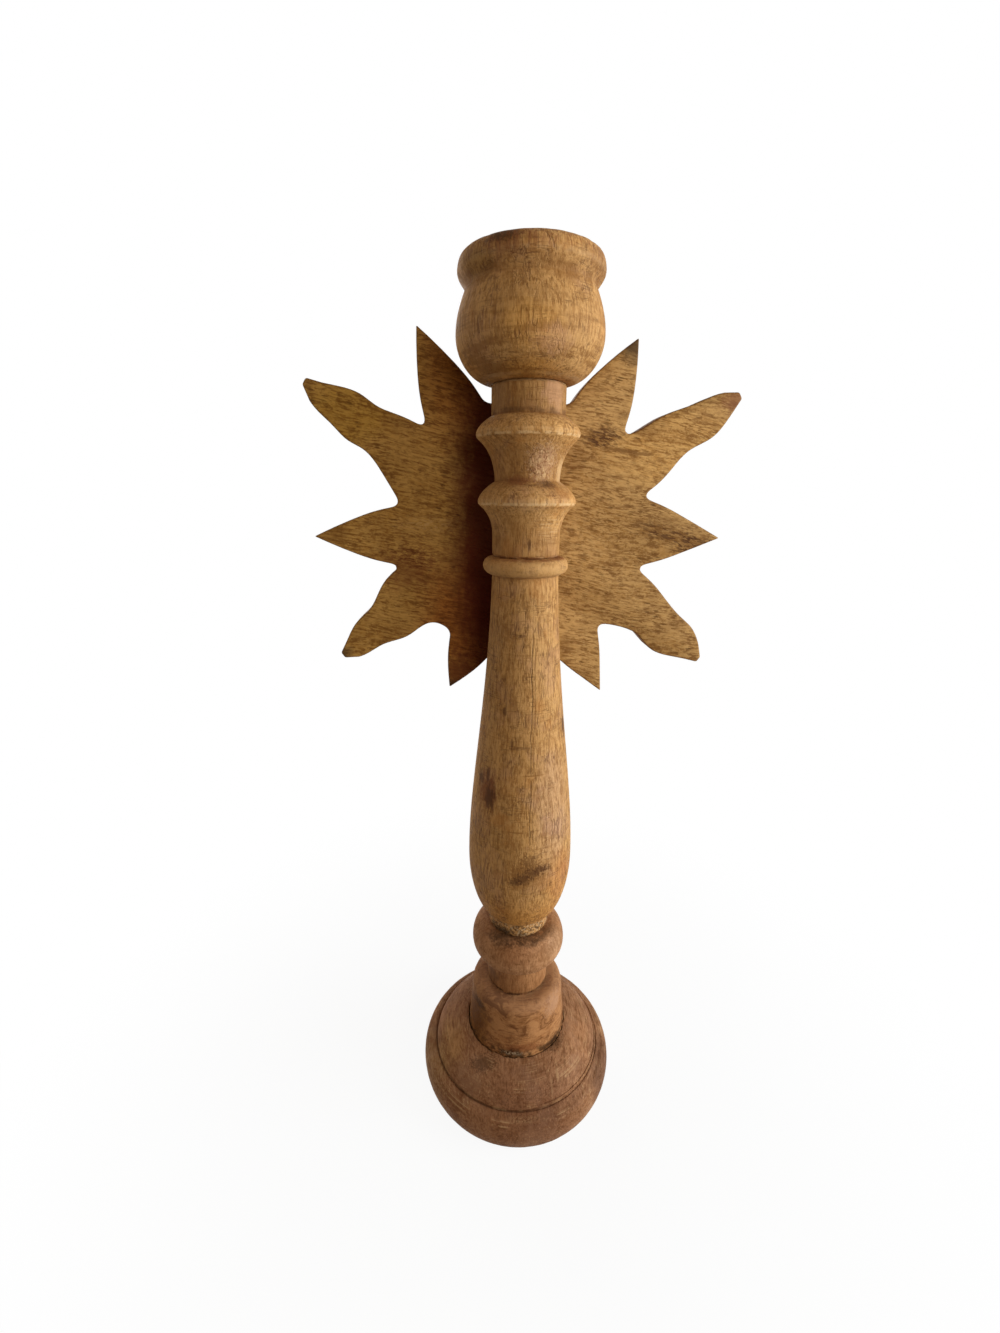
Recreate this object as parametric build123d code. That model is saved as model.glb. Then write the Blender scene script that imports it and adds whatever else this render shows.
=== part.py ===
from build123d import *
import os
from dataclasses import dataclass
from math import cos, radians, sin

# A turned wooden candle stand. Its stem is a stack of turned pieces joined by dowels, a board sawn to a sun
# is screwed to the back of the stem, and a metal pan with a spike drops into the cup on top.
# Millimetres. +Z is up, +Y is to the back, and the origin is the middle of the underside.

# Fits
glue_gap = 0.1                # radial room round a dowel, plug or screw in its hole
end_gap = 0.5                 # room past the end of a dowel or a screw in its hole
lift_gap = 0.3                # room round the loose pan in the cup

# Base: a rim with a round side, a groove, and a low dome that holds the collar
base_radius = 52.5
base_rim_height = 17.9
base_rim_bulge = 4.6          # how far the round side of the rim stands out
base_shoulder_width = 1.1     # flat of the rim between its round side and the groove
base_groove_width = 1.6
base_groove_depth = 1.0
base_dome_height = 13.3
collar_crack = 0.6            # open joint round the foot of the collar
collar_seat_depth = 5.0

# Collar: a drum with a rounded top edge
collar_radius = 26.6
collar_taper = 2.0            # the drum is this much narrower at its top
collar_height = 34.8
collar_edge_radius = 5.0

# Lower bead: a short neck and a round bead
bead_neck_radius = 16.1
bead_neck_height = 17.5
bead_radius = 24.4
bead_lower_height = 9.3       # from the neck to the widest place
bead_upper_height = 11.0
bead_seat_radius = 16.8       # flat on top of the bead, under the foot of the vase

# Vase: a plain foot, a long belly and the ring at its top
vase_foot_radius = 15.5
vase_foot_height = 7.7
vase_belly_radius = 25.9
vase_belly_height = 33.6      # from the top of the foot to the widest place
vase_taper_height = 141.3     # from the widest place to the ring
vase_neck_radius = 14.5
ring_radius = 18.6
ring_height = 7.6

# Column: a shaft, two flared rings with a cove between them, and the neck under the cup
shaft_radius = 14.5
shaft_height = 9.0
lower_flare_height = 12.5
lower_ridge_radius = 20.7
ridge_edge = 1.6              # worn flat on the sharp edge of a flared ring
lower_shoulder_height = 7.4
cove_radius = 13.6
upper_flare_height = 17.0
upper_ridge_radius = 21.4
upper_shoulder_height = 6.2
neck_radius = 15.0
neck_height = 11.7

# Cup: a bowl with a rolled lip, bored to take the pan
cup_seat_radius = 16.0
cup_bowl_radius = 29.0
cup_lower_height = 16.3       # from the seat to the widest place
cup_upper_height = 15.4       # from the widest place to the groove under the lip
cup_groove_radius = 25.2
cup_lip_radius = 28.1
cup_lip_height = 11.0
cup_lip_flat = 2.4            # flat on top of the lip
cup_bore_radius = 21.0
cup_bore_edge = 2.0           # rounding of the mouth of the bore
cup_web = 2.0                 # wood left between the nut pocket and the dowel hole

# Dowels of the stem
stem_dowel_radius = 5.0
cup_dowel_depth_in_cup = 6.0
cup_dowel_depth_in_column = 15.0
column_dowel_depth = 16.0
vase_dowel_depth = 12.0

# Screw through the base and the collar into the bead, with its washer and the plug below its head
base_screw_radius = 2.5
base_screw_head_radius = 5.0
base_screw_head_height = 3.6
bead_web = 3.0                # wood left between the screw hole and the dowel hole
screw_room = 0.3              # radial room round the screw in the base and the collar
base_washer_radius = 8.0
base_washer_thickness = 1.5
base_plug_radius = 9.0
base_plug_height = 5.0

# Sun plate: twelve places for rays, straight and wavy in turn, and a flat top edge below the cup
sun_thickness = 12.0
sun_seat_depth = 2.6          # the plate's seat is planed this deep into the ring of the vase
sun_centre_rise = 9.3         # centre of the sun above the joint of vase and column
sun_top_drop = 3.5            # flat top edge below the joint of neck and cup
sun_top_half_width = 17.6
sun_top_shift = 1.5           # middle of the flat top edge, to the right of the stem
sun_valley_radius = 60.0
sun_straight_ray = 32.0       # from the circle of the valleys to the tip
sun_wavy_ray = 49.0
wavy_tip_half_width = 1.5     # a wavy ray ends blunt
even_wave = ((0.44, 9.0), (0.66, 9.3))
sun_seat_end_gap = 1.0        # room below the tip of the lowest ray in the seat
ray_step = 30.0               # degrees between two places
top_place = 3                 # the place behind the cup, which has no ray


@dataclass
class Ray:
    """One ray of the sun, as it was sawn by hand."""

    place: int                # in twelfths of a turn, from +X towards +Z
    form: str                 # straight or wavy
    lean: float = 0.0         # degrees from its place
    extra: float = 0.0        # extra length
    fuller: float = 0.0       # extra half width of the middle of a straight ray
    valley_lean: float = 0.0  # degrees by which the valley after it leaves the middle between two rays
    valley_extra: float = 0.0  # extra radius of that valley
    # Points of a wavy ray's edge towards the ray before it, and towards the ray after it. Each has its place
    # along the ray, as a share of the ray's length, and its distance from the ray's middle.
    wave_before: tuple = even_wave
    wave_after: tuple = even_wave


lowest_ray = Ray(9, "wavy", extra=-4.0)
sun_rays = [
    Ray(0, "straight", lean=-1.7, extra=0.7, fuller=0.2, valley_lean=0.8, valley_extra=-1.2),
    Ray(
        1,
        "wavy",
        lean=1.5,
        extra=2.0,
        valley_lean=-2.0,
        valley_extra=2.0,
        wave_before=((0.20, 12.2), (0.43, 8.7), (0.65, 9.1), (0.84, 5.7)),
        wave_after=((0.14, 10.9), (0.35, 10.3), (0.63, 7.4), (0.78, 6.3)),
    ),
    Ray(2, "straight", lean=-1.1, extra=0.5, fuller=1.3),
    Ray(4, "straight", lean=-1.2, extra=1.5, fuller=1.0, valley_lean=1.4, valley_extra=2.5),
    Ray(
        5,
        "wavy",
        lean=-3.3,
        extra=1.2,
        valley_lean=3.8,
        valley_extra=-2.5,
        wave_before=((0.20, 11.3), (0.42, 8.6), (0.56, 8.8), (0.86, 3.9)),
        wave_after=((0.20, 11.3), (0.34, 9.6), (0.48, 10.1), (0.66, 8.3), (0.80, 7.0)),
    ),
    Ray(6, "straight", lean=1.5, extra=1.5, fuller=0.8, valley_lean=-2.2),
    Ray(
        7,
        "wavy",
        lean=4.3,
        extra=-6.0,
        valley_lean=3.8,
        valley_extra=-1.5,
        wave_before=((0.12, 17.5), (0.44, 10.6), (0.65, 9.0), (0.84, 5.2)),
        wave_after=((0.02, 10.2), (0.28, 9.9), (0.56, 6.6), (0.79, 5.8)),
    ),
    Ray(8, "straight", lean=5.2, extra=-9.5, fuller=0.6),
    lowest_ray,
    Ray(10, "straight", lean=-2.3, extra=-4.0, valley_lean=-0.7, valley_extra=-1.0),
    Ray(
        11,
        "wavy",
        lean=-4.7,
        valley_lean=1.6,
        valley_extra=-1.2,
        wave_before=((0.10, 9.8), (0.27, 7.5), (0.51, 9.5), (0.78, 5.8)),
        wave_after=((0.20, 15.4), (0.57, 11.4), (0.71, 10.6), (0.88, 6.6)),
    ),
]

# Screw, plug and dowels of the sun plate
sun_screw_turn = 15.0         # the screw was driven this far from square to the plate, in degrees
sun_screw_rise = 7.0          # screw axis above the bottom of the cove
sun_screw_radius = 2.0
sun_screw_head_radius = 4.0
sun_screw_head_height = 2.6
sun_screw_head_reach = 5.0    # underside of the head, in front of the stem's axis
sun_screw_bite = 9.0          # length of the screw in the plate
sun_plug_radius = 4.6
sun_dowel_radius = 2.5
sun_dowel_depth = 6.0         # in the stem and in the plate alike
sun_dowel_drop = 60.0         # lower dowel below the joint of vase and column

# Pan, spike, washer and nut
pan_thickness = 1.0
pan_wall_height = 14.0
pan_corner_radius = 3.0
spike_tail_radius = 2.0
spike_flange_radius = 4.5
spike_flange_height = 1.8
spike_root_radius = 2.5
spike_root_height = 8.0
spike_point_height = 14.0
spike_tip_radius = 0.4
thread_gap = 0.05             # radial room of the tail in its nut
spike_washer_radius = 5.0
spike_washer_thickness = 0.8
spike_nut_width = 7.0         # across flats
spike_nut_height = 3.2
spike_tail_end = 1.0          # tail below the nut
nut_pocket_room = 1.0         # room round and below the nut and washer in the cup


# Heights of the joints, from the table up
base_top = base_rim_height + base_dome_height
collar_bottom = base_top - collar_seat_depth
collar_top = collar_bottom + collar_height
bead_bottom = collar_top + bead_neck_height
bead_widest = bead_bottom + bead_lower_height
bead_top = bead_widest + bead_upper_height
vase_foot_top = bead_top + vase_foot_height
vase_belly = vase_foot_top + vase_belly_height
ring_bottom = vase_belly + vase_taper_height
column_bottom = ring_bottom + ring_height
shaft_top = column_bottom + shaft_height
lower_ridge = shaft_top + lower_flare_height
cove_bottom = lower_ridge + ridge_edge + lower_shoulder_height
upper_ridge = cove_bottom + upper_flare_height
neck_bottom = upper_ridge + ridge_edge + upper_shoulder_height
column_top = neck_bottom + neck_height
cup_widest = column_top + cup_lower_height
cup_groove = cup_widest + cup_upper_height
cup_top = cup_groove + cup_lip_height

# Places that follow from the joints
nut_pocket_depth = spike_washer_thickness + spike_nut_height + spike_tail_end + nut_pocket_room
cup_floor = column_top + cup_dowel_depth_in_cup + cup_web + nut_pocket_depth
pan_bottom = cup_floor + lift_gap
pan_floor = pan_bottom + pan_thickness
pan_radius = cup_bore_radius - lift_gap
sun_front = ring_radius - sun_seat_depth
sun_centre = column_bottom + sun_centre_rise
sun_top = column_top - sun_top_drop
sun_seat_bottom = sun_centre - sun_valley_radius - sun_wavy_ray - lowest_ray.extra - sun_seat_end_gap
base_screw_seat = base_plug_height + end_gap + base_screw_head_height + base_washer_thickness
bead_screw_depth = bead_top - collar_top - vase_dowel_depth - bead_web
sun_screw_height = cove_bottom + sun_screw_rise

# Shares that give the turned curves their form
ELLIPSE = 0.5523              # a cubic curve follows a quarter ellipse with its handles at this share
DOME = (0.45, 0.55, 0.1)
VASE_FOOT = (0.55, 0.08)
VASE_BELLY = 0.47
VASE_TAPER = 0.27
VASE_NECK = (0.18, 0.44)
FLARE = (0.4, 0.29, 0.24)
SHOULDER = (0.12, 0.36, 0.52, 0.26)
BOWL_SEAT = (0.58, 0.06)
BOWL_WIDEST = 0.48
BOWL_TOP = (0.4, 0.4, 0.24)
OGEE = 0.3
SAME_POINT = 0.000001         # two ends of a half section closer than this are one


def at(radius, height):
    """Point of a half section, which lies in the XZ plane."""
    return Vector(radius, 0, height)


def quarter_round(start, end, outward):
    """Quarter of an ellipse that leaves start across the axis (outward) or else along it."""
    corner = at(end.X, start.Z) if outward else at(start.X, end.Z)
    return Bezier(start, start + (corner - start) * ELLIPSE, end + (corner - end) * ELLIPSE, end)


def flare(start, end):
    """Hollow curve that rises along the stem and then sweeps out to the edge of a flared ring."""
    rise = end.Z - start.Z
    out = end.X - start.X
    first = at(start.X, start.Z + FLARE[0] * rise)
    second = at(start.X + FLARE[1] * out, end.Z - FLARE[2] * rise)
    return Bezier(start, first, second, end)


def shoulder(start, end):
    """Full curve from the edge of a flared ring up and in to the stem."""
    rise = end.Z - start.Z
    out = end.X - start.X
    first = at(start.X + SHOULDER[0] * out, start.Z + SHOULDER[1] * rise)
    second = at(start.X + SHOULDER[2] * out, end.Z - SHOULDER[3] * rise)
    return Bezier(start, first, second, end)


def ogee(start, end):
    """Curve that leaves start along the stem, sweeps over and meets end along the stem."""
    rise = end.Z - start.Z
    return Bezier(start, at(start.X, start.Z + OGEE * rise), at(end.X, end.Z - OGEE * rise), end)


def turned(*steps):
    """Solid turned from a half section. A step is a curve, or a point reached by a straight line."""
    edges = []
    first = steps[0]
    here = first
    for step in steps[1:]:
        is_point = isinstance(step, Vector)
        start = step if is_point else step @ 0
        if (start - here).length > SAME_POINT:
            edges.append(Line(here, start))
        if not is_point:
            edges.append(step)
        here = start if is_point else step @ 1
    edges.append(Line(here, first))
    return revolve(make_face(edges), Axis.Z)


def rod(radius, bottom, top):
    """Upright round rod, for a dowel or to cut a hole."""
    return Pos(0, 0, bottom) * Cylinder(radius, top - bottom, align=(Align.CENTER, Align.CENTER, Align.MIN))


def wood_screw(length, radius, head_radius, head_height):
    """Screw that points up from the underside of its head, with a cross recess and a tapered point."""
    point = 2 * radius
    body = turned(
        at(0, -head_height),
        at(head_radius / 2, -head_height),
        quarter_round(at(head_radius / 2, -head_height), at(head_radius, -head_height / 2), True),
        at(head_radius, 0),
        at(radius, 0),
        at(radius, length - point),
        at(radius / 5, length),
        at(0, length),
    )
    for turn in (0, 90):
        slot = Box(head_radius, head_radius / 4, head_height)
        body -= Pos(0, 0, -head_height) * Rot(0, 0, turn) * slot
    return body


def along_sun_screw(solid):
    """Lay a solid that points up along the sun screw, from the front of the column to the back."""
    return Pos(0, 0, sun_screw_height) * Rot(0, 0, sun_screw_turn) * Rot(-90, 0, 0) * solid


def towards_plate(solid, height):
    """Lay a solid that points up square to the sun plate, at the front face of the plate."""
    return Pos(0, sun_front, height) * Rot(-90, 0, 0) * solid


def plate_point(along, aside, angle):
    """Point on the front of the sun plate, along a ray from its centre and aside from the ray's middle."""
    turn = radians(angle)
    x = along * cos(turn) - aside * sin(turn)
    z = along * sin(turn) + aside * cos(turn)
    return Vector(x, sun_front, sun_centre + z)


def ray_angle(index):
    """Direction of a ray, counted on past the ends of the list all round the sun."""
    turns, place = divmod(index, len(sun_rays))
    ray = sun_rays[place]
    return 360 * turns + ray_step * ray.place + ray.lean


def valley_after(index):
    """Bottom of the valley between a ray and the next one, or the right end of the flat top edge."""
    ray = sun_rays[index]
    if ray.place == top_place - 1:
        return Vector(sun_top_shift + sun_top_half_width, sun_front, sun_top)
    middle = (ray_angle(index) + ray_angle(index + 1)) / 2
    return plate_point(sun_valley_radius + ray.valley_extra, 0, middle + ray.valley_lean)


def valley_before(index):
    """Bottom of the valley between a ray and the one before it, or the left end of the flat top edge."""
    if sun_rays[index].place == top_place + 1:
        return Vector(sun_top_shift - sun_top_half_width, sun_front, sun_top)
    return valley_after((index - 1) % len(sun_rays))


def ray_edges(index):
    """The two edges of one ray of the sun, from valley to tip and from tip to valley."""
    ray = sun_rays[index]
    angle = ray_angle(index)
    before = valley_before(index)
    after = valley_after(index)
    if ray.form == "straight":
        tip = plate_point(sun_valley_radius + sun_straight_ray + ray.extra, 0, angle)
        bow = plate_point(0, 2 * ray.fuller, angle) - plate_point(0, 0, angle)
        return [Bezier(before, (before + tip) / 2 - bow, tip), Bezier(tip, (tip + after) / 2 + bow, after)]
    length = sun_wavy_ray + ray.extra
    tip_before = plate_point(sun_valley_radius + length, -wavy_tip_half_width, angle)
    tip_after = plate_point(sun_valley_radius + length, wavy_tip_half_width, angle)
    wave_before = [
        plate_point(sun_valley_radius + share * length, -aside, angle) for share, aside in ray.wave_before
    ]
    wave_after = [
        plate_point(sun_valley_radius + share * length, aside, angle) for share, aside in ray.wave_after
    ]
    return [
        Spline(before, *wave_before, tip_before),
        Line(tip_before, tip_after),
        Spline(tip_after, *reversed(wave_after), after),
    ]


def make_base():
    rim_top_radius = base_radius - base_rim_bulge
    groove_outer = rim_top_radius - base_shoulder_width
    groove_inner = groove_outer - base_groove_width
    seat_radius = collar_radius + collar_crack
    rim_middle = base_rim_height / 2
    dome_edge = at(groove_inner, base_rim_height)
    dome_top = at(seat_radius, base_top)
    dome = Bezier(
        dome_edge,
        at(groove_inner, base_rim_height + DOME[0] * base_dome_height),
        at(seat_radius + DOME[1] * (groove_inner - seat_radius), base_top - DOME[2] * base_dome_height),
        dome_top,
    )
    body = turned(
        at(0, 0),
        at(rim_top_radius, 0),
        quarter_round(at(rim_top_radius, 0), at(base_radius, rim_middle), True),
        quarter_round(at(base_radius, rim_middle), at(rim_top_radius, base_rim_height), False),
        at(groove_outer, base_rim_height),
        at(groove_inner, base_rim_height - base_groove_depth),
        dome,
        at(0, base_top),
    )
    body -= rod(seat_radius, collar_bottom, base_top)
    body -= rod(base_screw_radius + screw_room, 0, base_top)
    body -= rod(base_plug_radius + glue_gap, 0, base_screw_seat)
    return body


def make_base_collar():
    top_radius = collar_radius - collar_taper
    body = turned(
        at(0, collar_bottom),
        at(collar_radius, collar_bottom),
        at(collar_radius, base_top),
        at(top_radius, collar_top - collar_edge_radius),
        quarter_round(
            at(top_radius, collar_top - collar_edge_radius),
            at(top_radius - collar_edge_radius, collar_top),
            False,
        ),
        at(0, collar_top),
    )
    return body - rod(base_screw_radius + screw_room, collar_bottom, collar_top)


def make_lower_bead():
    widest = at(bead_radius, bead_widest)
    body = turned(
        at(0, collar_top),
        at(bead_neck_radius, collar_top),
        quarter_round(at(bead_neck_radius, bead_bottom), widest, True),
        quarter_round(widest, at(bead_seat_radius, bead_top), False),
        at(0, bead_top),
    )
    body -= rod(base_screw_radius + glue_gap, collar_top, collar_top + bead_screw_depth)
    body -= rod(stem_dowel_radius + glue_gap, bead_top - vase_dowel_depth, bead_top)
    return body


def sun_seat():
    """Space that the plane took off the back of the stem, so that the plate lies flat against it."""
    width = 2 * (vase_belly_radius + cup_bowl_radius)
    height = column_top - sun_seat_bottom
    block = Box(width, width, height, align=(Align.CENTER, Align.MIN, Align.MIN))
    return Pos(0, sun_front, sun_seat_bottom) * block


def sun_dowel_heights():
    """One dowel lies behind the lower flared ring, the other behind the vase."""
    return [lower_ridge, column_bottom - sun_dowel_drop]


def sun_dowel_holes(depth_before, depth_behind):
    """Holes for the two dowels between stem and plate, before and behind the front of the plate."""
    hole = rod(sun_dowel_radius + glue_gap, -depth_before, depth_behind)
    return [towards_plate(hole, height) for height in sun_dowel_heights()]


def make_vase_stem():
    foot_edge = at(vase_foot_radius, vase_foot_top)
    widest = at(vase_belly_radius, vase_belly)
    belly_out = vase_belly_radius - vase_foot_radius
    taper_in = vase_belly_radius - vase_neck_radius
    neck_edge = at(vase_neck_radius, ring_bottom)
    belly = Bezier(
        foot_edge,
        at(vase_foot_radius + VASE_FOOT[0] * belly_out, vase_foot_top + VASE_FOOT[1] * vase_belly_height),
        at(vase_belly_radius, vase_belly - VASE_BELLY * vase_belly_height),
        widest,
    )
    taper = Bezier(
        widest,
        at(vase_belly_radius, vase_belly + VASE_TAPER * vase_taper_height),
        at(vase_neck_radius + VASE_NECK[0] * taper_in, ring_bottom - VASE_NECK[1] * vase_taper_height),
        neck_edge,
    )
    ring_widest = at(ring_radius, ring_bottom + ring_height / 2)
    body = turned(
        at(0, bead_top),
        at(vase_foot_radius, bead_top),
        belly,
        taper,
        quarter_round(neck_edge, ring_widest, True),
        quarter_round(ring_widest, at(shaft_radius, column_bottom), False),
        at(0, column_bottom),
    )
    body -= sun_seat()
    body -= rod(stem_dowel_radius + glue_gap, bead_top, bead_top + vase_dowel_depth)
    body -= rod(stem_dowel_radius + glue_gap, column_bottom - column_dowel_depth, column_bottom)
    for hole in sun_dowel_holes(sun_dowel_depth, 0):
        body -= hole
    return body


def column_blank():
    """The column as it comes off the lathe, before it is planed and drilled."""
    lower_edge = at(lower_ridge_radius, lower_ridge)
    lower_edge_top = at(lower_ridge_radius, lower_ridge + ridge_edge)
    cove_edge = at(cove_radius, cove_bottom)
    upper_edge = at(upper_ridge_radius, upper_ridge)
    upper_edge_top = at(upper_ridge_radius, upper_ridge + ridge_edge)
    return turned(
        at(0, column_bottom),
        at(shaft_radius, column_bottom),
        flare(at(shaft_radius, shaft_top), lower_edge),
        shoulder(lower_edge_top, cove_edge),
        flare(cove_edge, upper_edge),
        shoulder(upper_edge_top, at(neck_radius, neck_bottom)),
        at(neck_radius, column_top),
        at(0, column_top),
    )


def make_upper_column():
    body = column_blank() - sun_seat()
    body -= rod(stem_dowel_radius + glue_gap, column_bottom, column_bottom + column_dowel_depth)
    body -= rod(stem_dowel_radius + glue_gap, column_top - cup_dowel_depth_in_column, column_top)
    body -= along_sun_screw(rod(sun_screw_radius + glue_gap, -upper_ridge_radius, upper_ridge_radius))
    body -= along_sun_screw(rod(sun_plug_radius + glue_gap, -upper_ridge_radius, -sun_screw_head_reach))
    for hole in sun_dowel_holes(sun_dowel_depth, 0):
        body -= hole
    return body


def make_candle_cup():
    seat_edge = at(cup_seat_radius, column_top)
    widest = at(cup_bowl_radius, cup_widest)
    groove = at(cup_groove_radius, cup_groove)
    bowl_out = cup_bowl_radius - cup_seat_radius
    bowl_in = cup_bowl_radius - cup_groove_radius
    bowl_bottom = Bezier(
        seat_edge,
        at(cup_seat_radius + BOWL_SEAT[0] * bowl_out, column_top + BOWL_SEAT[1] * cup_lower_height),
        at(cup_bowl_radius, cup_widest - BOWL_WIDEST * cup_lower_height),
        widest,
    )
    bowl_top = Bezier(
        widest,
        at(cup_bowl_radius, cup_widest + BOWL_TOP[0] * cup_upper_height),
        at(cup_groove_radius + BOWL_TOP[1] * bowl_in, cup_groove - BOWL_TOP[2] * cup_upper_height),
        groove,
    )
    lip_widest = at(cup_lip_radius, cup_groove + cup_lip_height / 2)
    flat_inner = cup_bore_radius + cup_bore_edge
    flat_outer = flat_inner + cup_lip_flat
    mouth = at(cup_bore_radius, cup_top - cup_bore_edge)
    body = turned(
        at(0, column_top),
        bowl_bottom,
        bowl_top,
        ogee(groove, lip_widest),
        quarter_round(lip_widest, at(flat_outer, cup_top), False),
        at(flat_inner, cup_top),
        quarter_round(at(flat_inner, cup_top), mouth, True),
        at(cup_bore_radius, cup_floor),
        at(0, cup_floor),
    )
    nut_pocket_radius = spike_washer_radius + nut_pocket_room
    body -= rod(nut_pocket_radius, cup_floor - nut_pocket_depth, cup_floor)
    body -= rod(stem_dowel_radius + glue_gap, column_top, column_top + cup_dowel_depth_in_cup)
    return body


def make_sun_plate():
    edges = []
    for index, ray in enumerate(sun_rays):
        edges += ray_edges(index)
        if ray.place == top_place - 1:
            edges.append(Line(valley_after(index), valley_before(index + 1)))
    body = extrude(make_face(edges), sun_thickness, dir=(0, 1, 0))
    body -= along_sun_screw(rod(sun_screw_radius + glue_gap, 0, sun_front + sun_screw_bite))
    for hole in sun_dowel_holes(0, sun_dowel_depth):
        body -= hole
    return body


def make_sun_screw():
    length = sun_screw_head_reach + sun_front + sun_screw_bite - end_gap
    screw = wood_screw(length, sun_screw_radius, sun_screw_head_radius, sun_screw_head_height)
    return along_sun_screw(Pos(0, 0, -sun_screw_head_reach) * screw)


def make_screw_plug():
    head_top = -sun_screw_head_reach - sun_screw_head_height - end_gap
    plug = along_sun_screw(rod(sun_plug_radius, -upper_ridge_radius, head_top))
    return plug & column_blank()


def make_sun_dowels():
    reach = sun_dowel_depth - end_gap
    dowel = rod(sun_dowel_radius, -reach, reach)
    return Compound(children=[towards_plate(dowel, height) for height in sun_dowel_heights()])


def make_base_screw():
    length = collar_top - base_screw_seat + bead_screw_depth - end_gap + base_washer_thickness
    screw = wood_screw(length, base_screw_radius, base_screw_head_radius, base_screw_head_height)
    return Pos(0, 0, base_screw_seat - base_washer_thickness) * screw


def make_pricket_pan():
    inner_radius = pan_radius - pan_thickness
    pan_top = pan_floor + pan_wall_height
    inner_corner = max(pan_corner_radius - pan_thickness, pan_thickness / 2)
    outer_corner = inner_corner + pan_thickness
    hole_radius = spike_tail_radius + glue_gap
    rolled_edge = ThreePointArc(
        at(pan_radius, pan_top),
        at(pan_radius - pan_thickness / 2, pan_top + pan_thickness / 2),
        at(inner_radius, pan_top),
    )
    return turned(
        at(hole_radius, pan_bottom),
        at(pan_radius - outer_corner, pan_bottom),
        quarter_round(
            at(pan_radius - outer_corner, pan_bottom), at(pan_radius, pan_bottom + outer_corner), True
        ),
        rolled_edge,
        quarter_round(
            at(inner_radius, pan_floor + inner_corner), at(inner_radius - inner_corner, pan_floor), False
        ),
        at(hole_radius, pan_floor),
    )


def make_pricket_spike():
    tail_bottom = pan_bottom - spike_washer_thickness - spike_nut_height - spike_tail_end
    flange_top = pan_floor + spike_flange_height
    root_top = flange_top + spike_root_height
    tip = root_top + spike_point_height
    return turned(
        at(0, tail_bottom),
        at(spike_tail_radius, tail_bottom),
        at(spike_tail_radius, pan_floor),
        at(spike_flange_radius, pan_floor),
        at(spike_flange_radius, flange_top),
        at(spike_root_radius, flange_top),
        at(spike_root_radius, root_top),
        at(spike_tip_radius, tip),
        at(0, tip),
    )


def make_spike_washer():
    bottom = pan_bottom - spike_washer_thickness
    return rod(spike_washer_radius, bottom, pan_bottom) - rod(
        spike_tail_radius + glue_gap, bottom, pan_bottom
    )


def make_spike_nut():
    top = pan_bottom - spike_washer_thickness
    bottom = top - spike_nut_height
    hexagon = RegularPolygon(spike_nut_width / 2, 6, major_radius=False)
    body = Pos(0, 0, bottom) * extrude(hexagon, spike_nut_height)
    return body - rod(spike_tail_radius + thread_gap, bottom, top)


def make_base_washer():
    bottom = base_screw_seat - base_washer_thickness
    return rod(base_washer_radius, bottom, base_screw_seat) - rod(
        base_screw_radius + screw_room, bottom, base_screw_seat
    )


pieces = {
    "base": make_base(),
    "base_collar": make_base_collar(),
    "lower_bead": make_lower_bead(),
    "vase_stem": make_vase_stem(),
    "upper_column": make_upper_column(),
    "candle_cup": make_candle_cup(),
    "sun_plate": make_sun_plate(),
    "vase_dowel": rod(
        stem_dowel_radius,
        bead_top - vase_dowel_depth + end_gap,
        bead_top + vase_dowel_depth - end_gap,
    ),
    "column_dowel": rod(
        stem_dowel_radius,
        column_bottom - column_dowel_depth + end_gap,
        column_bottom + column_dowel_depth - end_gap,
    ),
    "cup_dowel": rod(
        stem_dowel_radius,
        column_top - cup_dowel_depth_in_column + end_gap,
        column_top + cup_dowel_depth_in_cup - end_gap,
    ),
    "base_screw": make_base_screw(),
    "base_washer": make_base_washer(),
    "base_plug": rod(base_plug_radius, 0, base_plug_height),
    "sun_screw": make_sun_screw(),
    "screw_plug": make_screw_plug(),
    "sun_dowels": make_sun_dowels(),
    "pricket_pan": make_pricket_pan(),
    "pricket_spike": make_pricket_spike(),
    "spike_washer": make_spike_washer(),
    "spike_nut": make_spike_nut(),
}

os.makedirs("parts", exist_ok=True)
for name, solid in pieces.items():
    export_step(solid, f"parts/{name}.step")
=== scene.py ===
from itertools import accumulate
from math import atan2, ceil, cos, hypot, pi, radians, sin

import bmesh
import bpy
from mathutils import Matrix, Vector, noise


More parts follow.
